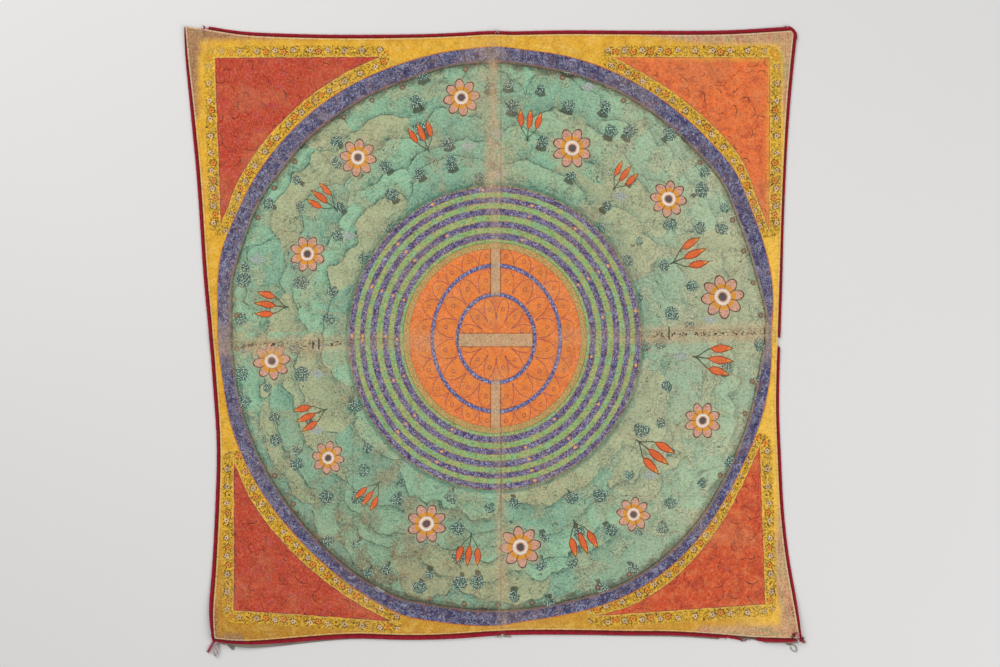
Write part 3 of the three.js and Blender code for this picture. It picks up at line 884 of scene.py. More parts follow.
def fold_wear(page, x, y, blot, grain):
    """Where folding has rubbed the paint away and left dark creases, with painted shadow in the holes and
    the slit, where the backing below lies in shade.
    """
    patchy = page.step(blot * 0.45 + grain * 0.55, 0.42, 0.56)
    across = x + 0.9 + y * 0.0174
    upper = page.near(y, 430.0, 150.0, 40.0)
    lower = page.near(y, -424.0, 120.0, 50.0)
    along = page.most(upper * 0.85, lower * 0.75, page.step(abs(y), 60.0, 90.0) * 0.35)
    wide = page.step(y, 470.0, 330.0) * upper * 11.0 + 9.0
    upright = page.step(abs(across) + (blot - 0.5) * 24.0, wide + 8.0, wide - 6.0) * along
    beside = y + 12.9 - x * 0.027
    left = page.near(x, -410.0, 118.0, 30.0)
    right = page.near(x, 414.0, 130.0, 30.0)
    level_along = page.most(left * 0.75, right * 0.85, page.step(abs(x), 100.0, 130.0) * 0.3)
    level = page.step(abs(beside) + (blot - 0.5) * 30.0, 27.0, 8.0) * level_along
    beside_strip = abs(x + 5.0) + (grain - 0.5) * 3.0
    part = page.near(abs(y + 10.0), 132.0, 46.0, 4.0)
    strip = page.step(beside_strip, 9.5, 8.0) * part * 0.95
    bar_edge = page.most(abs(y + 14.0) - 13.0, abs(x + 5.0) - 74.0) + (grain - 0.5) * 3.0
    bar = page.step(bar_edge, 1.0, -1.0) * 0.95
    halo = page.near(across, 0.0, 34.0, 40.0) * upper
    halo = page.most(halo, page.near(beside, 0.0, 34.0, 30.0) * left * 0.8)
    wear = page.most(upright, level) * (patchy * 0.6 + 0.35)
    wear = page.most(wear, halo * (patchy * 0.2 + 0.1))
    wear = page.most(wear, strip * (patchy * 0.15 + 0.8), bar * (patchy * 0.15 + 0.8))
    dark = page.near(x - 6.0, (grain - 0.5) * 1.5, 0.7, 0.6)
    dark = dark * page.most(page.near(y, -264.0, 74.0, 10.0), page.step(abs(y), 120.0, 300.0) * 0.35 + 0.2)
    line = page.near(beside - 8.0, (blot - 0.5) * 5.0, 0.6, 0.6) * page.step(abs(x), 90.0, 260.0) * 0.35
    old = page.near(x, -290.0, 0.8, 0.8) * page.near(y, -409.0, 180.0, 20.0) * 0.3
    old = page.most(old, page.near(y, -326.0, 0.8, 0.8) * page.near(x, 294.0, 100.0, 10.0) * 0.3)
    specks = page.noise(page.join(x * 0.2, y * 0.26), 1.0, 2, 0.7, warp=0.6)
    pin = page.step(specks, 0.53, 0.56) * page.step(blot, 0.42, 0.48) * page.most(left, right)
    pin = pin * page.near(beside, (blot - 0.5) * 14.0, 5.0, 2.0)
    mend = 0.0
    for mend_x, mend_y, tall in ((342.0, 0.0, 13.0), (-358.0, -22.0, 11.0), (-370.0, -24.0, 8.0)):
        mark = page.near(x, mend_x, 1.3, 0.6) * page.near(y, mend_y, tall, 1.5)
        mend = mark + mend
    # Painted shadow: a dark slit standing for the shade seen through a cut in the cloth.
    slit_shadow = page.near(x, 533.0, 1.6, 0.6) * page.near(y, -5.0, 17.0, 3.0) * page.step(blot, 0.4, 0.5)
    ink = page.most(page.near(beside_strip, 10.0, 0.9, 0.8) * part, page.near(bar_edge, 0.5, 0.8, 0.8))
    # Painted shadow: three holes painted dark for the shaded backing seen through them.
    hole_shadow = 0.0
    for hole_x, hole_y in ((587.0, -552.0), (589.0, -559.0), (590.5, -565.0)):
        spot = page.most(abs(x - hole_x), abs(y - hole_y))
        hole_shadow = page.step(spot, 1.9, 1.0) + hole_shadow
    return wear, page.most(dark * 0.85, line, old, pin, mend, slit_shadow * 0.8, ink * 0.6, hole_shadow * 0.9)


def backing_cotton(colours):
    def draw(page):
        flat = page.map("plan", 1000.0)
        weave, streak = page.use("Plain weave", Place=flat, Pitch=1.1)
        patches, specks = page.use("Grime", Place=flat, Size=34.0)
        colour = page.mix(colours.backing, "A89C88", page.step(streak, 0.38, 0.64) * 0.7)
        colour = colour.lay("6A5F50", patches * 0.4 + specks * 0.3)
        flat_x, flat_y, _ = page.split(flat)
        torn = page.near(flat_x, TORN_PLACE, TORN_REACH, 8.0) * page.step(flat_y, -590.0, -600.0)
        colour = colour.lay("5A3A2E", torn * 0.8)
        return colour, weave, 0.5, 0.4 * MM

    return surface("Backing cotton", draw, roughness=0.95, sheen=0.05)


def crimson_piping(colours):
    def draw(page):
        run = page.map("run", 1000.0)
        along, out, _ = page.split(run)
        weave, streak = page.use("Plain weave", Place=page.place(1000.0), Pitch=0.55)
        patches, specks = page.use("Grime", Place=page.place(1000.0), Size=11.0)
        # Painted shade darkens the piping beside the seam; a painted highlight lightens its outer edge.
        colour = page.mix(colours.piping_seam_shade, colours.piping, page.step(out, 0.8, 4.0))
        colour = (
            colour.lay("B01C38", page.step(out, 3.8, 6.5) * 0.5)
            .lay("B83C48", page.step(streak, 0.56, 0.72) * 0.3)
            .lay("5A0610", patches * 0.45)
            .lay("D89090", specks * 0.2)
        )
        pucker = page.noise(page.join(along * 0.34, out * 0.2), 1.0, 2, 0.6)
        return colour, weave * 0.35 + pucker, 0.55, 0.5 * MM

    return surface("Crimson piping", draw, roughness=0.85, sheen=0.03)


def cord_material(name, base, pale, deep):
    def draw(page):
        along, round_it, _ = page.split(page.map("run"))
        height, fibre = page.use("Twisted yarn", Run=along * 1000.0, Around=round_it, Pitch=9.0)
        patches, specks = page.use("Grime", Place=page.place(1000.0), Size=9.0)
        colour = page.mix(base, pale, page.step(fibre, 0.42, 0.66) * 0.7)
        # Painted shade: darker in the grooves between the plies.
        colour = colour.lay(deep, page.step(height, 0.2, 0.0) * 0.6)
        colour = colour.lay(deep, patches * 0.35 + specks * 0.2)
        return colour, height, 0.6, 0.35 * MM

    return surface(name, draw, roughness=0.88, sheen=0.1)


def thread_material(name, base, pale, deep):
    def draw(page):
        spot = page.place(1000.0)
        fuzz = page.noise(spot, 1.6, 3, 0.7)
        patches, _ = page.use("Grime", Place=spot, Size=7.0)
        colour = page.mix(base, pale, page.step(fuzz, 0.45, 0.65))
        colour = colour.lay(deep, patches * 0.5)
        return colour, fuzz, 0.5, 0.2 * MM

    return surface(name, draw, roughness=0.9, sheen=0.05)


def studio_floor(colour):
    def draw(page):
        soft = page.noise(page.place(1.0), 1.3, 2)
        shade = page.mix(colour, [c * 0.97 for c in colour], soft)
        fine = page.noise(page.place(60.0), 1.0, 2)
        return shade, fine, 0.02, 0.2 * MM

    return surface("Studio floor", draw, roughness=0.85)


# ---- Shaping ----


def select_only(*pieces):
    if bpy.context.object and bpy.context.object.mode != "OBJECT":
        bpy.ops.object.mode_set(mode="OBJECT")
    bpy.ops.object.select_all(action="DESELECT")
    for piece in pieces:
        piece.select_set(True)
    bpy.context.view_layer.objects.active = pieces[-1]


def edit(piece, select, mode="VERT"):
    """Opens a piece for editing, with NONE or ALL of it selected, or what it has with KEEP."""
    select_only(piece)
    bpy.ops.object.mode_set(mode="EDIT")
    bpy.ops.mesh.select_mode(type=mode)
    if select == "NONE":
        bpy.ops.mesh.select_all(action="DESELECT")
    elif select == "ALL":
        bpy.ops.mesh.select_all(action="SELECT")


def done():
    bpy.ops.object.mode_set(mode="OBJECT")


def modify(piece, kind, **settings):
    select_only(piece)
    modifier = piece.modifiers.new(kind.title(), kind)
    for name, value in settings.items():
        setattr(modifier, name, value)
    bpy.ops.object.modifier_apply(modifier=modifier.name)


def points_of(mesh):
    co = np.empty(len(mesh.vertices) * 3)
    mesh.vertices.foreach_get("co", co)
    return co.reshape(-1, 3)


def put_points(mesh, co):
    mesh.vertices.foreach_set("co", np.ascontiguousarray(co, float).ravel())
    mesh.update()


def keep_number(mesh, name, values):
    attribute = mesh.attributes.new(name, "FLOAT", "POINT")
    attribute.data.foreach_set("value", np.asarray(values, np.float32))


def keep_map(mesh, name, uv):
    """Writes a UV map from two numbers for each vertex."""
    layer = mesh.uv_layers.new(name=name)
    corner = np.empty(len(mesh.loops), int)
    mesh.loops.foreach_get("vertex_index", corner)
    layer.data.foreach_set("uv", np.ascontiguousarray(uv[corner], np.float32).ravel())


def drop_maps(mesh):
    while mesh.uv_layers:
        mesh.uv_layers.remove(mesh.uv_layers[0])


def add_object(name, data):
    piece = bpy.data.objects.new(name, data)
    bpy.context.scene.collection.objects.link(piece)
    return piece


def new_mesh(name, points, faces, material):
    mesh = bpy.data.meshes.new(name)
    mesh.from_pydata([tuple(p) for p in points], [], faces)
    mesh.update()
    piece = add_object(name, mesh)
    mesh.materials.append(material)
    mesh.shade_smooth()
    return piece


def take(piece, material, slot, *replaced):
    """Gives a piece its material, and says what it rides on and stands for."""
    piece.data.materials.clear()
    piece.data.materials.append(material)
    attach(piece, "root")
    if replaced:
        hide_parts(*replaced)
    return piece


def copy_of(node, name):
    """A merged copy of a CAD node, without its own maps and materials."""
    mesh = frame["nodes"][node].data.copy()
    mesh.materials.clear()
    piece = add_object(name, mesh)
    select_only(piece)
    if mesh.has_custom_normals:
        bpy.ops.mesh.customdata_custom_splitnormals_clear()
    drop_maps(mesh)
    edit(piece, "ALL")
    bpy.ops.mesh.remove_doubles(threshold=0.01 * MM)
    done()
    return piece


# ---- The two sheets ----

DIAGONAL = 15 * MM


def upper_grid(node, name):
    """The upper side of a CAD sheet as a fine square grid."""
    piece = copy_of(node, name)
    mesh = piece.data
    edit(piece, "NONE", "FACE")
    done()
    for face in mesh.polygons:
        face.select = face.normal.z < 0.5
    edit(piece, "KEEP", "FACE")
    bpy.ops.mesh.delete(type="FACE")
    bpy.ops.mesh.select_mode(type="EDGE")
    bpy.ops.mesh.select_all(action="DESELECT")
    done()
    co = points_of(mesh)
    for edge in mesh.edges:
        run = abs(co[edge.vertices[0]] - co[edge.vertices[1]])
        edge.select = bool(run[0] > DIAGONAL and run[1] > DIAGONAL)
    edit(piece, "KEEP", "EDGE")
    bpy.ops.mesh.dissolve_edges(use_verts=False)
    done()
    if any(len(face.vertices) != 4 for face in mesh.polygons):
        raise RuntimeError(f"{name}: the sheet is not a clean grid")
    modify(piece, "SUBSURF", levels=3, render_levels=3, boundary_smooth="PRESERVE_CORNERS")
    return piece


def rim_loop(mesh):
    """The points round the sheet's edge, in order."""
    count = {}
    for face in mesh.polygons:
        for key in face.edge_keys:
            count[key] = count.get(key, 0) + 1
    following = {}
    for (a, b), n in count.items():
        if n == 1:
            following.setdefault(a, []).append(b)
            following.setdefault(b, []).append(a)
    start = min(following)
    loop, last = [start], None
    while True:
        here = loop[-1]
        step = next(n for n in following[here] if n != last)
        if step == start and len(loop) > 2:
            break
        last = here
        loop.append(step)
    co = points_of(mesh)[loop]
    area = np.sum(co[:, 0] * np.roll(co[:, 1], -1) - co[:, 1] * np.roll(co[:, 0], -1))
    return co if area > 0 else co[::-1]


RIM_STEP = 0.5 * MM


def plan_tree(points):
    """For finding the nearest of some points, seen from above."""
    tree = kdtree.KDTree(len(points))
    for i, point in enumerate(points):
        tree.insert((point[0], point[1], 0), i)
    tree.balance()
    return tree


def plan_of(co):
    """Plan places in millimetres."""
    return co[:, :2] / MM - MIDDLE


class Rim:
    """The edge of the painted cloth: distances from it, and places along it."""

    def __init__(self, loop):
        closed = np.vstack([loop, loop[:1]])
        steps = np.linalg.norm(np.diff(closed, axis=0), axis=1)
        along = np.concatenate([[0], np.cumsum(steps)])
        self.total = along[-1]
        self.at = np.arange(0, self.total, RIM_STEP)
        self.line = np.stack([np.interp(self.at, along, closed[:, k]) for k in range(3)], 1)
        self.tree = plan_tree(self.line)
        window = 16
        ahead, behind = np.roll(self.line, -window, 0), np.roll(self.line, window, 0)
        self.run = (ahead - behind)[:, :2]
        self.run /= np.linalg.norm(self.run, axis=1)[:, None]
        self.out = np.stack([self.run[:, 1], -self.run[:, 0]], 1)

    def measure(self, co):
        """Distance to the edge, and the index of the nearest place on it."""
        found = [self.tree.find((p[0], p[1], 0)) for p in co]
        return np.array([f[2] for f in found]), np.array([f[1] for f in found])


def curve(rows, at):
    places, values = zip(*rows, strict=True)
    return np.interp(at, places, values)


# Where the yellow ground ends, in plan millimetres: (along, limit).
GROUND_TOP = [(-594, 582), (-552, 585), (-397, 589), (-336, 593), (-300, 620), (250, 620),
              (284, 597), (404, 577), (545, 575)]
GROUND_LEFT = [(-612, -548), (-600, -558), (-560, -563), (-530, -566), (-515, -640),
               (400, -640), (430, -598), (519, -599), (582, -594)]
GROUND_RIGHT = [(-581, 563), (-559, 563), (-506, 554), (-421, 553), (-330, 562), (-280, 620),
                (330, 620), (400, 573), (458, 567), (549, 567), (575, 561)]
GROUND_BOTTOM = [(-557, -640), (-553, -606), (-543, -598), (-510, -601), (-494, -640),
                 (300, -640), (384, -600), (404, -587), (541, -582), (563, -581)]
# The corner fields' straight sides.
FIELD_TOP = [(-566, 550), (-248, 552), (224, 552), (544, 550)]
FIELD_LEFT = [(-554, -528), (-260, -528), (210, -554), (550, -566)]
FIELD_RIGHT = [(-542, 534), (-224, 524), (216, 542), (550, 544)]
FIELD_BOTTOM = [(-528, -554), (-188, -578), (220, -564), (534, -542)]
# The blue ring's outer and inner radius, and how far beyond it the corner fields begin, by
# degrees round from the right.
RING_OUTER = [(0, 549), (5, 556), (10, 561), (25, 565), (30, 570), (34, 576), (40, 571), (50, 568),
              (60, 567), (75, 565), (84, 562), (90, 567), (95, 565), (110, 567), (120, 572),
              (130, 576), (150, 578), (155, 576), (164, 580), (170, 573), (176, 565), (190, 562),
              (200, 569), (210, 572), (225, 574), (232, 578), (240, 585), (250, 594), (253, 594),
              (257, 588), (264, 585), (270, 583), (275, 576), (282, 576), (290, 581), (296, 584),
              (305, 583), (315, 575), (325, 564), (332, 559), (345, 557), (353, 554), (360, 549)]
RING_INNER = [(0, 544), (4, 545), (9, 538), (15, 534), (25, 535), (30, 542), (34, 545), (45, 539),
              (60, 539), (80, 535), (90, 539), (100, 540), (110, 536), (120, 540), (130, 543),
              (136, 546), (144, 544), (150, 550), (160, 546), (170, 549), (176, 541), (190, 540),
              (205, 544), (215, 547), (225, 552), (235, 560), (245, 567), (250, 568), (256, 560),
              (270, 556), (286, 556), (294, 562), (302, 564), (310, 560), (318, 554), (326, 545),
              (335, 539), (350, 535), (355, 537), (360, 544)]
FIELD_GAP = [(0, 20), (28, 18), (38, 27), (60, 24), (66, 26), (115, 27), (150, 27), (158, 20),
             (205, 19), (216, 28), (230, 27), (243, 21), (288, 15), (294, 21), (300, 24),
             (320, 19), (336, 15), (360, 20)]
# Where the flower border has faded: x, y, how far round.
FADED = ((-575, 560, 120), (570, 560, 70), (-560, -590, 70), (565, -575, 60))
FIELD_GRID = 2.0
FIELDS_FROM = 520
FAR_FROM_FIELDS = 60.0


def measure_plan(mesh, co, rim):
    """Keeps on the mesh what the painting needs to know about a place, in millimetres.

    edge: in from the cloth's edge. bare: in from where the yellow ground ends. field_x, field_y,
    field_r: in from a corner field's sides and arc. field_out: away from the nearest field.
    ring_out, ring_in: out from the blue ring's two edges. faded: from 0 to 1.
    """
    plan = plan_of(co)
    x, y = plan[:, 0], plan[:, 1]
    keep_map(mesh, "plan", plan * MM)
    bare = (
        curve(GROUND_TOP, x) - y,
        x - curve(GROUND_LEFT, y),
        curve(GROUND_RIGHT, y) - x,
        y - curve(GROUND_BOTTOM, x),
    )
    field_x, field_y, field_r = field_depth(x, y)
    radius, outer, inner, _ = ring_place(x, y)
    faded = np.maximum.reduce([1 - np.hypot(x - fx, y - fy) / reach for fx, fy, reach in FADED])
    numbers = {
        "edge": rim.measure(co)[0] / MM,
        "bare": np.minimum.reduce(bare),
        "field_x": field_x,
        "field_y": field_y,
        "field_r": field_r,
        "field_out": field_distance(x, y),
        "ring_out": radius - outer,
        "ring_in": radius - inner,
        "faded": np.clip(faded, 0, 1),
    }
    for name, values in numbers.items():
        keep_number(mesh, name, values)


def ring_place(x, y):
    """Distance from the rings' middle; in that direction, the ring's radii and the field's gap."""
    (cx, cy), (sx, sy) = OUTER["centre"], OUTER["stretch"]
    across, up = (x - cx) * sx, (y - cy) * sy
    angle = np.degrees(np.arctan2(up, across)) % 360
    near = [np.mod(angle + turn, 360) for turn in (-2, 0, 2)]
    tables = (RING_OUTER, RING_INNER, FIELD_GAP)
    return np.hypot(across, up), *(np.mean([curve(t, a) for a in near], axis=0) for t in tables)


def field_depth(x, y):
    """How far inside the straight sides and the arc of a corner field each place is."""
    radius, outer, _, gap = ring_place(x, y)
    field_x = np.minimum(x - curve(FIELD_LEFT, y), curve(FIELD_RIGHT, y) - x)
    field_y = np.minimum(curve(FIELD_TOP, x) - y, y - curve(FIELD_BOTTOM, x))
    return field_x, field_y, radius - outer - gap


def field_distance(x, y):
    """How far outside the nearest corner field each place is."""
    grid_x, grid_y = (g.ravel() for g in np.meshgrid(*[np.arange(-600, 600, FIELD_GRID)] * 2))
    depth = np.minimum.reduce(field_depth(grid_x, grid_y))
    shell = (depth > 0) & (depth < 1.6 * FIELD_GRID)
    tree = plan_tree(np.stack([grid_x[shell], grid_y[shell]], 1))
    inside = np.minimum.reduce(field_depth(x, y))
    out = np.full(len(x), FAR_FROM_FIELDS)
    for i in np.nonzero(np.hypot(x, y) > FIELDS_FROM)[0]:
        out[i] = tree.find((x[i], y[i], 0))[2]
    return np.where(inside > 0, -inside, out)


def ridge(distance, wide):
    """A rounded fold: 1 at no distance, and little past its width."""
    return np.exp(-((distance / wide) ** 2))


def fold_relief(plan, edge, along):
    """Height in millimetres of creases, hem, puckers and slack."""
    x, y = plan[:, 0], plan[:, 1]
    slack = 0.35 + 0.35 * np.sin(x / 83 + 1.3 * np.sin(y / 151)) * np.sin(y / 97 + 0.9 * np.sin(x / 127))
    slack += 0.12 * np.sin(x / 29 + y / 61) * np.sin(y / 37 - x / 71)
    centre = x - 6 + 0.006 * y
    level = y + 19 + 0.018 * x
    height = slack
    for distance, tall, reach in ((centre, 0.9, 9), (level, 0.8, 9)):
        height = height + tall * ridge(distance, reach)
    height = height - 0.5 * ridge(centre - 1, 4) * (abs(y) > 90)
    for distance, tall in ((x + 290, 0.45), (x - 300, 0.3), (y - 300, 0.3), (y + 326, 0.45)):
        height = height + tall * ridge(distance, 7)
    pucker = np.sin(along / 5.3 + 1.7 * np.sin(along / 41)) * np.exp(-edge / 9)
    height = height + 0.22 * pucker + 0.22
    hem = ridge(edge - 1.8, 1.8)
    height = height + 0.55 * hem
    pleat = np.exp(-(((x + 524) / 26) ** 2 + ((y + 600) / 17) ** 2))
    return height + 0.7 * pleat * (1 + np.sin((x * 0.86 + y * 0.5) / 1.9))


def build_sheets(sizes, colours, trims):
    painted = upper_grid("painted_cloth", "painted_sheet")
    edit(painted, "ALL", "FACE")
    for _ in range(2):
        bpy.ops.mesh.inset(thickness=2 * MM, depth=0, use_boundary=True)
    done()
    mesh = painted.data
    rim = Rim(rim_loop(mesh))
    co = points_of(mesh)
    distance, index = rim.measure(co)
    along = rim.at[index] / MM
    plan = plan_of(co)
    co[:, 2] += fold_relief(plan, distance / MM, along) * MM
    put_points(mesh, co)
    measure_plan(mesh, co, rim)
    modify(painted, "SOLIDIFY", thickness=sizes.painted_thick, offset=-1)
    painted.data.shade_smooth()
    take(painted, painted_cotton(colours), "painted_cotton", "painted_cloth")

    backing = upper_grid("backing_cloth", "backing_sheet")
    mesh = backing.data
    co = points_of(mesh)
    plan = plan_of(co)
    torn = np.clip((TORN_REACH - abs(plan[:, 0] - TORN_PLACE)) / 9, 0, 1)
    torn = torn * np.clip((-560 - plan[:, 1]) / 40, 0, 1)
    plan[:, 1] += TORN_DEEP * torn
    co[:, 1] += TORN_DEEP * torn * MM
    put_points(mesh, co)
    keep_map(mesh, "plan", plan * MM)
    modify(backing, "SOLIDIFY", thickness=sizes.backing_thick, offset=-1)
    backing.data.shade_smooth()
    take(backing, backing_cotton(trims), "backing", "backing_cloth")
    return painted, backing, rim


# ---- Piping ----

PIPING = (
    "piping_left",
    "piping_top",
    "piping_right_lower",
    "piping_right_upper",
    "piping_bottom_left",
    "piping_bottom_right",
    "piping_bottom_corner",
)
PIPING_TUCK = 0.7 * MM
# Ends that are pulled: axis along it, which end, over how far, axis of the pull, by how much.
PIPING_PULLS = {
    "piping_right_upper": ((1, 1, 10, 1, -8), (1, 1, 26, 0, -2.2)),
    "piping_bottom_left": ((0, 1, 12, 0, 8),),
    "piping_bottom_right": ((0, -1, 12, 0, -4),),
}


def build_piping(rim, trims):
    material = crimson_piping(trims)
    for node in PIPING:
        piece = copy_of(node, "red_" + node)
        edit(piece, "ALL", "FACE")
        bpy.ops.mesh.tris_convert_to_quads(face_threshold=math.pi, shape_threshold=math.pi)
        done()
        modify(piece, "SUBSURF", levels=3, render_levels=3)
        mesh = piece.data
        co = points_of(mesh)
        _, index = rim.measure(co)
        out = np.einsum("ij,ij->i", co[:, :2] - rim.line[index][:, :2], rim.out[index])
        along = rim.at[index] / MM
        wrinkle = np.sin(along / 2.7 + out / MM * 0.9 + 2 * np.sin(along / 23))
        wrinkle += 0.6 * np.sin(along / 4.9 - out / MM * 0.7)
        swell = 0.5 * np.sin(along / 31 + 1.1) + 0.5 * np.sin(along / 57)
        normal = np.empty(len(mesh.vertices) * 3)
        mesh.vertices.foreach_get("normal", normal)
        co += normal.reshape(-1, 3) * ((0.11 * wrinkle + 0.16 * swell) * MM)[:, None]
        wide = 0.08 if "right" in node and "bottom" not in node else 0.18
        co[:, :2] += rim.out[index] * (wide * out - PIPING_TUCK)[:, None]
        place = co[:, :2] / MM
        for axis, end, over, moved, by in PIPING_PULLS.get(node, ()):
            at = end * place[:, axis]
            co[:, moved] += np.clip((at - at.max() + over) / over, 0, 1) * by * MM
        co[:, 2] = np.maximum(co[:, 2], 0.02 * MM)
        put_points(mesh, co)
        keep_map(mesh, "run", np.stack([rim.at[index], out], 1))
        mesh.shade_smooth()
        take(piece, material, "piping", node)
    build_piping_turns(material)


PIPING_TURNS = {
    "piping_top_turn": (
        [(571, 609.2, 3.0), (580.5, 610.0, 3.6), (587.2, 607.0, 3.7), (592.2, 601.4, 3.5),
         (594.8, 594.6, 3.3), (595.2, 586, 2.9)],
        3.7,
    ),
    "piping_left_turn": ([(-571, -600, 3.0), (-569.5, -609, 2.7), (-566, -617, 2.4)], 7.4),
    "piping_bottom_swell": (
        [(-563, -612.8, 2.6), (-556, -615.6, 4.0), (-547, -618.4, 4.4), (-536, -618.0, 3.0)], 5.2
    ),
    "piping_frayed_end": (
        [(455, -605.4, 3.0), (467, -607.8, 3.0), (479, -611.0, 2.3), (489, -614.4, 1.0)], 4.6
    ),
}


def build_piping_turns(material):
    """Folds of the piping that close its corners, and its torn end that hangs off the cloth."""
    for name, (route, high) in PIPING_TURNS.items():
        line = plan_route([(x, y, high) for x, y, _ in route], 40)
        wide = np.interp(np.linspace(0, 1, 40), np.linspace(0, 1, len(route)), [r[2] for r in route])
        points, faces, uv = tube(line, wide * MM, 20, squash=0.75)
        piece = new_mesh(name, points, faces, material)
        out = 4.0 + 2.2 * np.cos(uv[:, 1] * math.tau)
        keep_map(piece.data, "run", np.stack([uv[:, 0], out * MM], 1))
        take(piece, material, "piping")


# ---- Sewing ----

STITCH_INWARD = 1.7 * MM
STITCH_LIFT = 0.12 * MM
STITCHES_LOST = 0.04


def one_stitch(sizes):
    """A short plump stitch that dips at both ends, modelled once."""
    bpy.ops.object.select_all(action="DESELECT")
    bpy.ops.mesh.primitive_uv_sphere_add(segments=6, ring_count=4, radius=0.5)
    piece = bpy.context.object
    co = points_of(piece.data)
    co[:, 0] *= sizes.thread_thick
    co[:, 1] *= sizes.thread_thick
    co[:, 2] *= sizes.stitch_long
    along = co[:, 2] / sizes.stitch_long
    shape = np.stack([co[:, 2], co[:, 1], co[:, 0] - 1.1 * sizes.thread_thick * along**2], 1)
    faces = [tuple(face.vertices) for face in piece.data.polygons]
    bpy.data.objects.remove(piece)
    return shape, faces


def build_hem_stitches(sizes, painted, rim, material):
    shape, faces = one_stitch(sizes)
    tree = bvhtree.BVHTree.FromObject(painted, bpy.context.evaluated_depsgraph_get())
    dice = random.Random(7)
    points, all_faces = [], []
    step = int(round(sizes.stitch_pitch / RIM_STEP))
    for i in range(0, len(rim.line), step):
        i = min(len(rim.line) - 1, max(0, i + dice.choice((-1, 0, 0, 1))))
        run, out = rim.run[i], rim.out[i]
        inward = STITCH_INWARD + dice.uniform(-0.3, 0.3) * MM
        spot = rim.line[i][:2] - out * inward
        hit = tree.ray_cast(Vector((*spot, 1)), Vector((0, 0, -1)))[0]
        if hit is None or dice.random() < STITCHES_LOST:
            continue
        angle = math.radians(dice.uniform(18, 42))
        ahead = run * math.cos(angle) + out * math.sin(angle)
        aside = np.array((-ahead[1], ahead[0]))
        size = dice.uniform(0.8, 1.12)
        base = len(points)
        for p in shape * size:
            place = spot + ahead * p[0] + aside * p[1]
            points.append((*place, hit.z + STITCH_LIFT + p[2]))
        all_faces += [tuple(v + base for v in face) for face in faces]
    piece = new_mesh("hem_stitches", points, all_faces, material)
    return take(piece, material, "painted_cotton")


# ---- Cords and threads ----


def smooth_route(route, count):
    """A smooth line through the points of a route."""
    p = np.array(route, float)
    steps = np.concatenate([[0], np.cumsum(np.linalg.norm(np.diff(p, axis=0), axis=1))])
    ends = np.vstack([2 * p[0] - p[1], p, 2 * p[-1] - p[-2]])
    out = []
    for t in np.linspace(0, steps[-1], count):
        i = min(int(np.searchsorted(steps, t, side="right")) - 1, len(p) - 2)
        u = (t - steps[i]) / (steps[i + 1] - steps[i])
        a, b, c, d = ends[i : i + 4]
        out.append(
            0.5 * (2 * b + (c - a) * u + (2 * a - 5 * b + 4 * c - d) * u**2
                   + (3 * b - a - 3 * c + d) * u**3)
        )
    return np.array(out)


def plan_route(route, count):
    """A smooth line through plan points in millimetres."""
    return smooth_route([world(*p) for p in route], count)


def tube(line, radius, sides=16, plies=0, pitch=9 * MM, squash=1.0):
    """Points, faces and map of a closed tube round a line, with twisted plies."""
    radius = np.broadcast_to(radius, len(line))
    run = np.gradient(line, axis=0)
    run /= np.linalg.norm(run, axis=1)[:, None]
    up = np.array((0, 0, 1.0)) if abs(run[0][2]) < 0.9 else np.array((1.0, 0, 0))
    along = np.concatenate([[0], np.cumsum(np.linalg.norm(np.diff(line, axis=0), axis=1))])
    points, uv, faces = [], [], []
    for i, centre in enumerate(line):
        aside = np.cross(run[i], up)
        aside /= np.linalg.norm(aside)
        lift = np.cross(aside, run[i])
        end = min(i, len(line) - 1 - i)
        cap = (0.55, 0.86, 1.0)[min(end, 2)]
        for k in range(sides):
            angle = math.tau * k / sides
            ply = 1.0
            if plies:
                ply = 0.84 + 0.16 * abs(math.cos(plies * (angle - math.tau * along[i] / pitch) / 2))
            r = radius[i] * cap * ply
            spot = centre + aside * (r * math.cos(angle)) + lift * (r * squash * math.sin(angle))
            points.append(spot)
            uv.append((along[i], k / sides))
    for i in range(len(line) - 1):
        for k in range(sides):
            a, b = i * sides + k, i * sides + (k + 1) % sides
            faces.append((a, b, b + sides, a + sides))
    last = (len(line) - 1) * sides
    faces.append(tuple(reversed(range(sides))))
    faces.append(tuple(range(last, last + sides)))
    return points, faces, np.array(uv)


class Bundle:
    """Several tubes in one mesh."""

    def __init__(self):
        self.points, self.faces, self.uv = [], [], []

    def add(self, line, radius, sides=6, **settings):
        points, faces, uv = tube(np.asarray(line, float), radius, sides, **settings)
        base = len(self.points)
        self.points += points
        self.faces += [tuple(v + base for v in face) for face in faces]
        self.uv += list(uv)

    def piece(self, name, material):
        made = new_mesh(name, self.points, self.faces, material)
        keep_map(made.data, "run", np.array(self.uv))
        return made


def world(x, y, z):
    """A plan point in millimetres, in the row frame."""
    return np.array(((x + MIDDLE[0]) * MM, (y + MIDDLE[1]) * MM, z * MM))


TIES = {
    "tie_red_left": (5.4, [(-553, -597), (-561, -606), (-568, -617), (-574, -627), (-580, -638)]),
    "tie_white_left": (4.6, [(-540, -593), (-546, -603), (-553, -614), (-559.5, -627.5)]),
    "tie_red_right": (6.0, [(585, -593), (592, -600), (600, -608), (607, -614), (613, -619)]),
    "tie_white_right": (3.0, [(570, -602), (575, -609), (582, -617), (589, -623), (594, -626),
                              (597.5, -630), (597.5, -635), (594, -637.5), (590, -635.5),
                              (586, -631)]),
}


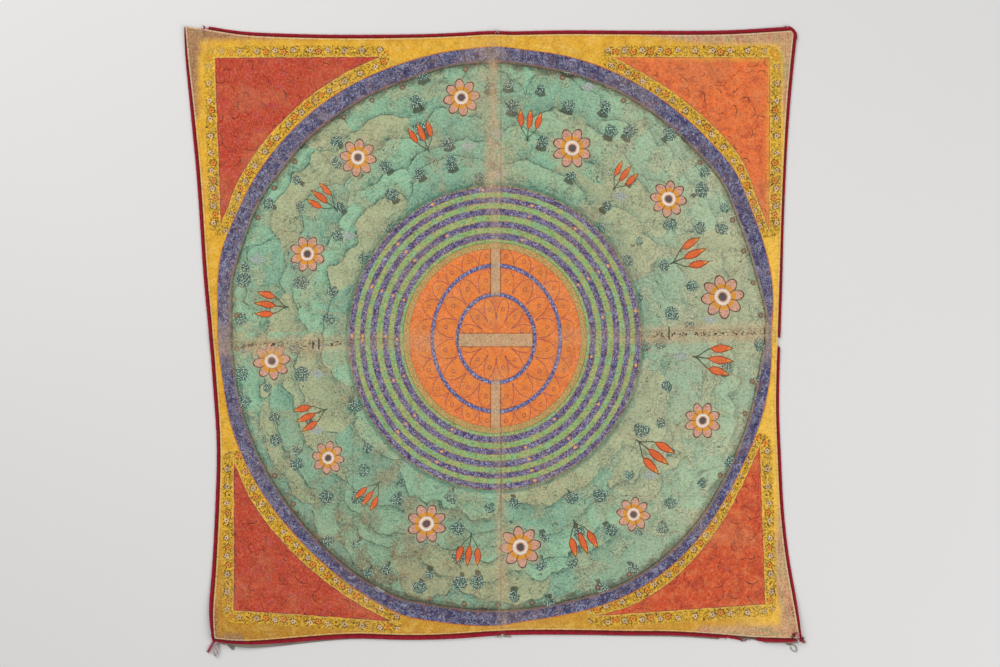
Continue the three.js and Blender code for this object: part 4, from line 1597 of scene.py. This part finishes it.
def build_ties(trims):
    red = cord_material("Red cord", trims.red_tie, "D98A94", "5A0C18")
    white = cord_material("White cord", trims.white_tie, "E2D8D0", "6E6058")
    dice = random.Random(21)
    knot = build_knot(white)
    for name, (diameter, route) in TIES.items():
        material = red if "red" in name else white
        height = diameter / 2
        line = plan_route([(x, y, height) for x, y in route], 44)
        points, faces, uv = tube(line, diameter / 2 * MM, 20, plies=3, pitch=diameter * 2.6 * MM)
        piece = new_mesh(name + "_cord", points, faces, material)
        keep_map(piece.data, "run", uv)
        take(piece, material, "red_tie" if "red" in name else "white_tie", name)
        extra = [knot] if name == "tie_white_left" else []
        if name != "tie_white_left":
            extra.append(frayed_end(name, line, diameter, material, dice))
    return white


def frayed_end(name, line, diameter, material, dice):
    """Loose fibres where a cord ends."""
    ahead = line[-1] - line[-4]
    ahead /= np.linalg.norm(ahead)
    aside = np.array((-ahead[1], ahead[0], 0))
    bundle = Bundle()
    for _ in range(16):
        lean = dice.uniform(-0.9, 0.9)
        start = line[-1] + aside * lean * diameter * 0.4 * MM - ahead * 1.2 * MM
        start[2] = dice.uniform(0.3, 0.8) * diameter * MM
        long = dice.uniform(1.6, 3.4) * MM
        end = start + (ahead + aside * lean * 0.6) * long
        end[2] = dice.uniform(0.3, 1.5) * MM
        middle = (start + end) / 2 + aside * dice.uniform(-0.6, 0.6) * MM
        bundle.add(smooth_route([start, middle, end], 7), 0.28 * MM, 5)
    piece = bundle.piece(name + "_fibres", material)
    return take(piece, material, "red_tie" if "red" in name else "white_tie")


KNOT_MIDDLE = (-563.6, -637.4, 5)
KNOT_TURN = math.radians(70)


def build_knot(material):
    """The swollen end of the left white tie: a pear of cord wound round on itself."""
    piece = copy_of("tie_white_left_knot", "tie_white_left_wound_end")
    modify(piece, "SUBSURF", levels=3, render_levels=3)
    mesh = piece.data
    co = points_of(mesh)
    middle = world(*KNOT_MIDDLE)
    axis = np.array((math.cos(KNOT_TURN), math.sin(KNOT_TURN), 0))
    rel = co - middle
    along = rel @ axis
    aside = rel - np.outer(along, axis)
    angle = np.arctan2(aside[:, 2], aside @ np.array((-axis[1], axis[0], 0)))
    along = np.where(along > 0, along * 1.7, along)
    groove = 0.92 + 0.08 * abs(np.cos(along / MM * 0.62 + angle * 0.5))
    co = middle + np.outer(along, axis) + aside * groove[:, None]
    put_points(mesh, co)
    keep_map(mesh, "run", np.stack([along, angle / math.tau + 0.5], 1))
    mesh.shade_smooth()
    return take(piece, material, "white_tie", "tie_white_left_knot")


def loose_threads(dice, middle, spread, count, long, height):
    """Ragged threads that hang out of a tear, towards the lower side."""
    bundle = Bundle()
    radius = 0.2
    lean, aside = np.array((0.0, -1.0)), np.array((1.0, 0.0))
    for _ in range(count):
        at = np.array(middle) + aside * dice.uniform(-spread, spread)
        reach = dice.uniform(0.4, 1.0) * long
        drift = dice.uniform(-0.7, 0.7)
        route = []
        for t in (0, 0.35, 0.7, 1.0):
            spot = at + lean * reach * t + aside * drift * reach * t * t
            spot = spot + aside * dice.uniform(-0.4, 0.4) * t
            high = height * (1 - t) ** 1.4 + radius + 0.15
            route.append((*spot, high))
        bundle.add(plan_route(route, 9), radius * dice.uniform(0.7, 1.3) * MM, 5)
    return bundle


LUMP_ROUGH = 0.064


def lump(name, middle, radii, seed, turn):
    """A small knotted lump, pushed in and out unevenly."""
    bpy.ops.object.select_all(action="DESELECT")
    bpy.ops.mesh.primitive_ico_sphere_add(subdivisions=4, radius=1)
    piece = bpy.context.object
    piece.name = piece.data.name = name
    co = points_of(piece.data)
    dice = np.random.default_rng(seed)
    push = np.ones(len(co))
    for _ in range(7):
        way = dice.normal(size=3)
        push += LUMP_ROUGH * np.sin(co @ way * 2.2 + dice.uniform(0, 6))
    co = co * push[:, None] * np.array(radii) * MM
    c, s = math.cos(turn), math.sin(turn)
    co = co @ np.array(((c, s, 0), (-s, c, 0), (0, 0, 1)))
    co[:, 2] = np.maximum(co[:, 2], -(middle[2] - 0.05) * MM)
    uv = np.stack([co[:, 0], np.arctan2(co[:, 2], co[:, 1]) / math.tau + 0.5], 1)
    put_points(piece.data, co + world(*middle))
    drop_maps(piece.data)
    keep_map(piece.data, "run", uv)
    piece.data.shade_smooth()
    return piece


def build_damage(white):
    """Knots, tears, ragged threads and darns round the edge."""
    beige = thread_material("Beige thread", "A89A80", "D6C8AC", "5E5444")
    dull = thread_material("Dull tape", "7E6864", "A68E86", "463430")
    pink = thread_material("Pink thread", "C07878", "E4B4A8", "7E3038")
    deep_red = thread_material("Dark red thread", "5E0A14", "9C2C34", "2A0408")
    crimson = thread_material("Crimson thread", "961428", "C84458", "4A0610")
    dice = random.Random(5)
    rows = (
        ("torn_threads_left", beige, (-98, -598.5), 11, 24, 6, 5.0, "backing"),
        ("torn_threads_middle", beige, (8, -605), 14, 26, 5, 5.0, "backing"),
        ("torn_threads_right", beige, (496, -610), 7, 40, 8, 5.0, "backing"),
        ("torn_threads_far_right", beige, (444, -604), 6, 24, 6, 5.0, "backing"),
        ("piping_frays_middle", pink, (20, -606), 7, 22, 4, 4.5, "piping"),
        ("piping_frays_right", pink, (470, -608), 16, 24, 6, 5.0, "piping"),
        ("top_left_frays", pink, (-580, 610), 3, 12, 5, 5.0, "red_tie"),
    )
    for name, material, middle, spread, count, long, height, slot in rows:
        bundle = loose_threads(dice, middle, spread, count, long, height)
        take(bundle.piece(name, material), material, slot)
    lumps = (
        ("top_left_tie_stub", (-587.5, 611.5, 4.2), (1.5, 4.4, 1.5), crimson, 3, 0.25, "red_tie"),
        ("top_left_stub_knot", (-589.4, 605.6, 6.2), (2.6, 4.0, 2.0), pink, 4, 0.5, "red_tie"),
        # A pink knob where the piping ends, its pale colour partly a painted highlight on the join.
        ("top_right_knob", (578.4, 612, 6.2), (2.0, 1.6, 1.4), pink, 6, 0.2, "piping"),
        # A red knot whose pale pink colour is partly a painted highlight on the dark red tangle.
        ("bottom_right_knot", (599.5, -603.5, 14.0), (2.4, 2.0, 1.8), pink, 8, -0.7, "red_tie"),
        ("torn_lining_near", (443, -607.5, 3.0), (4.6, 2.6, 0.9), dull, 15, 0.2, "backing"),
        ("torn_lining_far", (493, -613.6, 3.0), (6.4, 2.4, 0.9), dull, 16, 0.35, "backing"),
        ("bottom_middle_knot", (9, -603.6, 4.6), (2.4, 2.0, 2.0), beige, 11, 0.0, "backing"),
        ("bottom_middle_tuft", (2.6, -606.5, 3.0), (3.2, 2.4, 1.8), beige, 12, 0.4, "backing"),
        ("right_hook_tape", (581, -620, 3.0), (7.0, 4.0, 2.4), dull, 13, -0.4, "white_tie"),
    )
    for name, middle, radii, material, seed, turn, slot in lumps:
        take(lump(name, middle, radii, seed, turn), material, slot)
    tangles = (
        ("bottom_right_tangle", deep_red, (591.5, -604, 13.2), (4.5, 3.8, 0.8), 12, 0.5),
        # Pink strands that are partly a painted highlight on the dark red tangle.
        ("bottom_right_tangle_pale", pink, (598, -602.5, 14.2), (2.6, 5.4, 0.8), 14, 0.6),
        ("bottom_right_tangle_far", deep_red, (607, -612, 7.6), (4.0, 4.0, 0.8), 9, 0.55),
    )
    for name, material, middle, spread, count, thick in tangles:
        bundle = Bundle()
        for _ in range(count):
            start = np.array([m + dice.uniform(-s, s) for m, s in zip(middle, spread, strict=True)])
            turns = [start + [dice.uniform(-3, 3), dice.uniform(-3, 3), 0] for _ in range(3)]
            bundle.add(plan_route((start, *turns), 16), thick * MM, 6)
        take(bundle.piece(name, material), material, "red_tie")
    bundle = Bundle()
    for x in np.arange(1.0, 14.5, 1.5):
        lean = dice.uniform(-1.2, 1.2)
        route = ((x, -595.4, 4.6), (x + lean, -599.5, 5.4), (x + lean, -603.6, 3.6))
        bundle.add(plan_route(route, 9), 0.85 * MM, 6)
    take(bundle.piece("bottom_middle_darn", crimson), crimson, "piping")
    bundle = Bundle()
    for lean in (-1, 1):
        route = ((-2 - 4 * lean, 598.5, 7.1), (-2, 603, 7.6), (-2 + 4 * lean, 607.5, 7.1))
        bundle.add(plan_route(route, 9), 0.45 * MM, 6)
    take(bundle.piece("top_cross_stitch", white), white, "painted_cotton")


def build_flap(backing):
    """A small torn corner of the backing that hangs out at the lower left."""
    count = 9
    points, faces = [], []
    for j in range(count):
        t = j / (count - 1)
        left, right = -545 + 13 * t, -525 - 3 * t
        for i in range(count):
            s = i / (count - 1)
            x = left + (right - left) * s
            y = -620 - 14 * t + 2.0 * math.sin(s * 3.1) * (1 - t)
            high = 1.3 + 0.5 * math.sin(s * 5 + t * 2) + 0.4 * t
            points.append(world(x, y, high))
    for j in range(count - 1):
        for i in range(count - 1):
            a = j * count + i
            faces.append((a, a + count, a + count + 1, a + 1))
    material = backing.data.materials[0]
    piece = new_mesh("backing_flap", points, faces, material)
    co = points_of(piece.data)
    keep_map(piece.data, "plan", co[:, :2] - MIDDLE * MM)
    modify(piece, "SUBSURF", levels=2, render_levels=2)
    modify(piece, "SOLIDIFY", thickness=0.8 * MM, offset=-1)
    piece.data.shade_smooth()
    take(piece, material, "backing")


# ---- Stage ----

VIEW_MIDDLE = (14.5 * MM, 7.7 * MM)
CLOTH_HIGH = 3 * MM
SENSOR = 36
FLOOR_HIGH = -0.25 * MM


def soft_light(name, power, size, place):
    """A square light that shines on the middle of the scene."""
    light = bpy.data.lights.new(name, "AREA")
    light.energy, light.size = power, size
    lamp = add_object(name, light)
    lamp.location = place
    lamp.rotation_euler = (-Vector(place)).to_track_quat("-Z", "Y").to_euler()


def build_camera(stage):
    camera = add_object("camera", bpy.data.cameras.new("camera"))
    camera.location = (*VIEW_MIDDLE, stage.camera_high)
    camera.data.sensor_width = SENSOR
    camera.data.lens = SENSOR * (stage.camera_high - CLOTH_HIGH) / stage.view_wide
    camera.data.clip_start, camera.data.clip_end = 0.05, 50
    bpy.context.scene.camera = camera


def build_stage(stage):
    bpy.ops.object.select_all(action="DESELECT")
    bpy.ops.mesh.primitive_grid_add(x_subdivisions=8, y_subdivisions=8, size=14)
    floor = bpy.context.object
    floor.name = "studio_floor"
    co = points_of(floor.data)
    co[:, 2] = FLOOR_HIGH
    put_points(floor.data, co)
    floor.data.materials.append(studio_floor(tuple(stage.floor)))
    soft_light("main_light", stage.key_power, 2.2, (-1.9, 1.9, 2.6))
    soft_light("fill_light", stage.fill_power, 3.0, (2.2, -1.2, 2.8))
    sky = bpy.data.worlds.new("studio")
    sky.use_nodes = True
    back = sky.node_tree.nodes["Background"]
    back.inputs[0].default_value = (0.93, 0.95, 1.0, 1)
    back.inputs[1].default_value = 0.42
    bpy.context.scene.world = sky
    bpy.context.scene.view_settings.view_transform = "Standard"


# ---- The tool ----

# What one operator hands on to the next.
made = {}


def settings():
    """The sizes, the paint's colours, the trimmings' colours and the stage."""
    scene = bpy.context.scene
    return scene.cloth_sizes, scene.paint_colours, scene.trim_colours, scene.stage_settings


class CLOTH_OT_camera(bpy.types.Operator):
    """Places the camera straight over the cloth"""

    bl_idname = "cloth.camera"
    bl_label = "Camera"

    def execute(self, context):
        build_camera(settings()[3])
        return {"FINISHED"}


class CLOTH_OT_effects(bpy.types.Operator):
    """Makes the weave, grime, ripples, borders and yarn that the materials share"""

    bl_idname = "cloth.effects"
    bl_label = "Shared effects"

    def execute(self, context):
        make_effects()
        return {"FINISHED"}


class CLOTH_OT_ties(bpy.types.Operator):
    """Twists the tie ends at the lower corners"""

    bl_idname = "cloth.ties"
    bl_label = "Tie ends"

    def execute(self, context):
        made["white"] = build_ties(settings()[2])
        return {"FINISHED"}


class CLOTH_OT_sheets(bpy.types.Operator):
    """Lays out the painted cloth and the backing"""

    bl_idname = "cloth.sheets"
    bl_label = "Painted cloth and backing"

    def execute(self, context):
        sizes, colours, trims, _ = settings()
        made["painted"], made["backing"], made["rim"] = build_sheets(sizes, colours, trims)
        return {"FINISHED"}


class CLOTH_OT_piping(bpy.types.Operator):
    """Rounds the lengths of red piping"""

    bl_idname = "cloth.piping"
    bl_label = "Piping"

    def execute(self, context):
        build_piping(made["rim"], settings()[2])
        return {"FINISHED"}


class CLOTH_OT_sewing(bpy.types.Operator):
    """Sews the hem and adds the tears, knots and darns"""

    bl_idname = "cloth.sewing"
    bl_label = "Stitches and damage"

    def execute(self, context):
        sizes, _, trims, _ = settings()
        thread = thread_material(
            "Hem thread", tuple(trims.thread), "EEDDBE", "8A6C4C"
        )
        build_hem_stitches(sizes, made["painted"], made["rim"], thread)
        build_damage(made["white"])
        build_flap(made["backing"])
        return {"FINISHED"}


class CLOTH_OT_stage(bpy.types.Operator):
    """Sets the floor and the soft lights"""

    bl_idname = "cloth.stage"
    bl_label = "Floor and lights"

    def execute(self, context):
        build_stage(settings()[3])
        return {"FINISHED"}


OPERATORS = (
    CLOTH_OT_camera,
    CLOTH_OT_effects,
    CLOTH_OT_ties,
    CLOTH_OT_sheets,
    CLOTH_OT_piping,
    CLOTH_OT_sewing,
    CLOTH_OT_stage,
)


class CLOTH_PT_panel(bpy.types.Panel):
    """Lists the pieces in the order in which they are made"""

    bl_label = "Cloth painting"
    bl_idname = "CLOTH_PT_panel"
    bl_space_type = "VIEW_3D"
    bl_region_type = "UI"
    bl_category = "Cloth painting"

    def draw(self, context):
        for operator in OPERATORS:
            self.layout.operator(operator.bl_idname)


GROUPS = {
    "cloth_sizes": ClothSizes,
    "paint_colours": PaintColours,
    "trim_colours": TrimColours,
    "stage_settings": StageSettings,
}


CLASSES = (*GROUPS.values(), *OPERATORS, CLOTH_PT_panel)


def register():
    for kind in CLASSES:
        bpy.utils.register_class(kind)
    for name, kind in GROUPS.items():
        setattr(bpy.types.Scene, name, bpy.props.PointerProperty(type=kind))


def unregister():
    for name in GROUPS:
        delattr(bpy.types.Scene, name)
    for kind in reversed(CLASSES):
        bpy.utils.unregister_class(kind)


def main():
    register()
    for operator in OPERATORS:
        getattr(bpy.ops.cloth, operator.bl_idname.split(".")[1])()


if __name__ == "__main__":
    main()
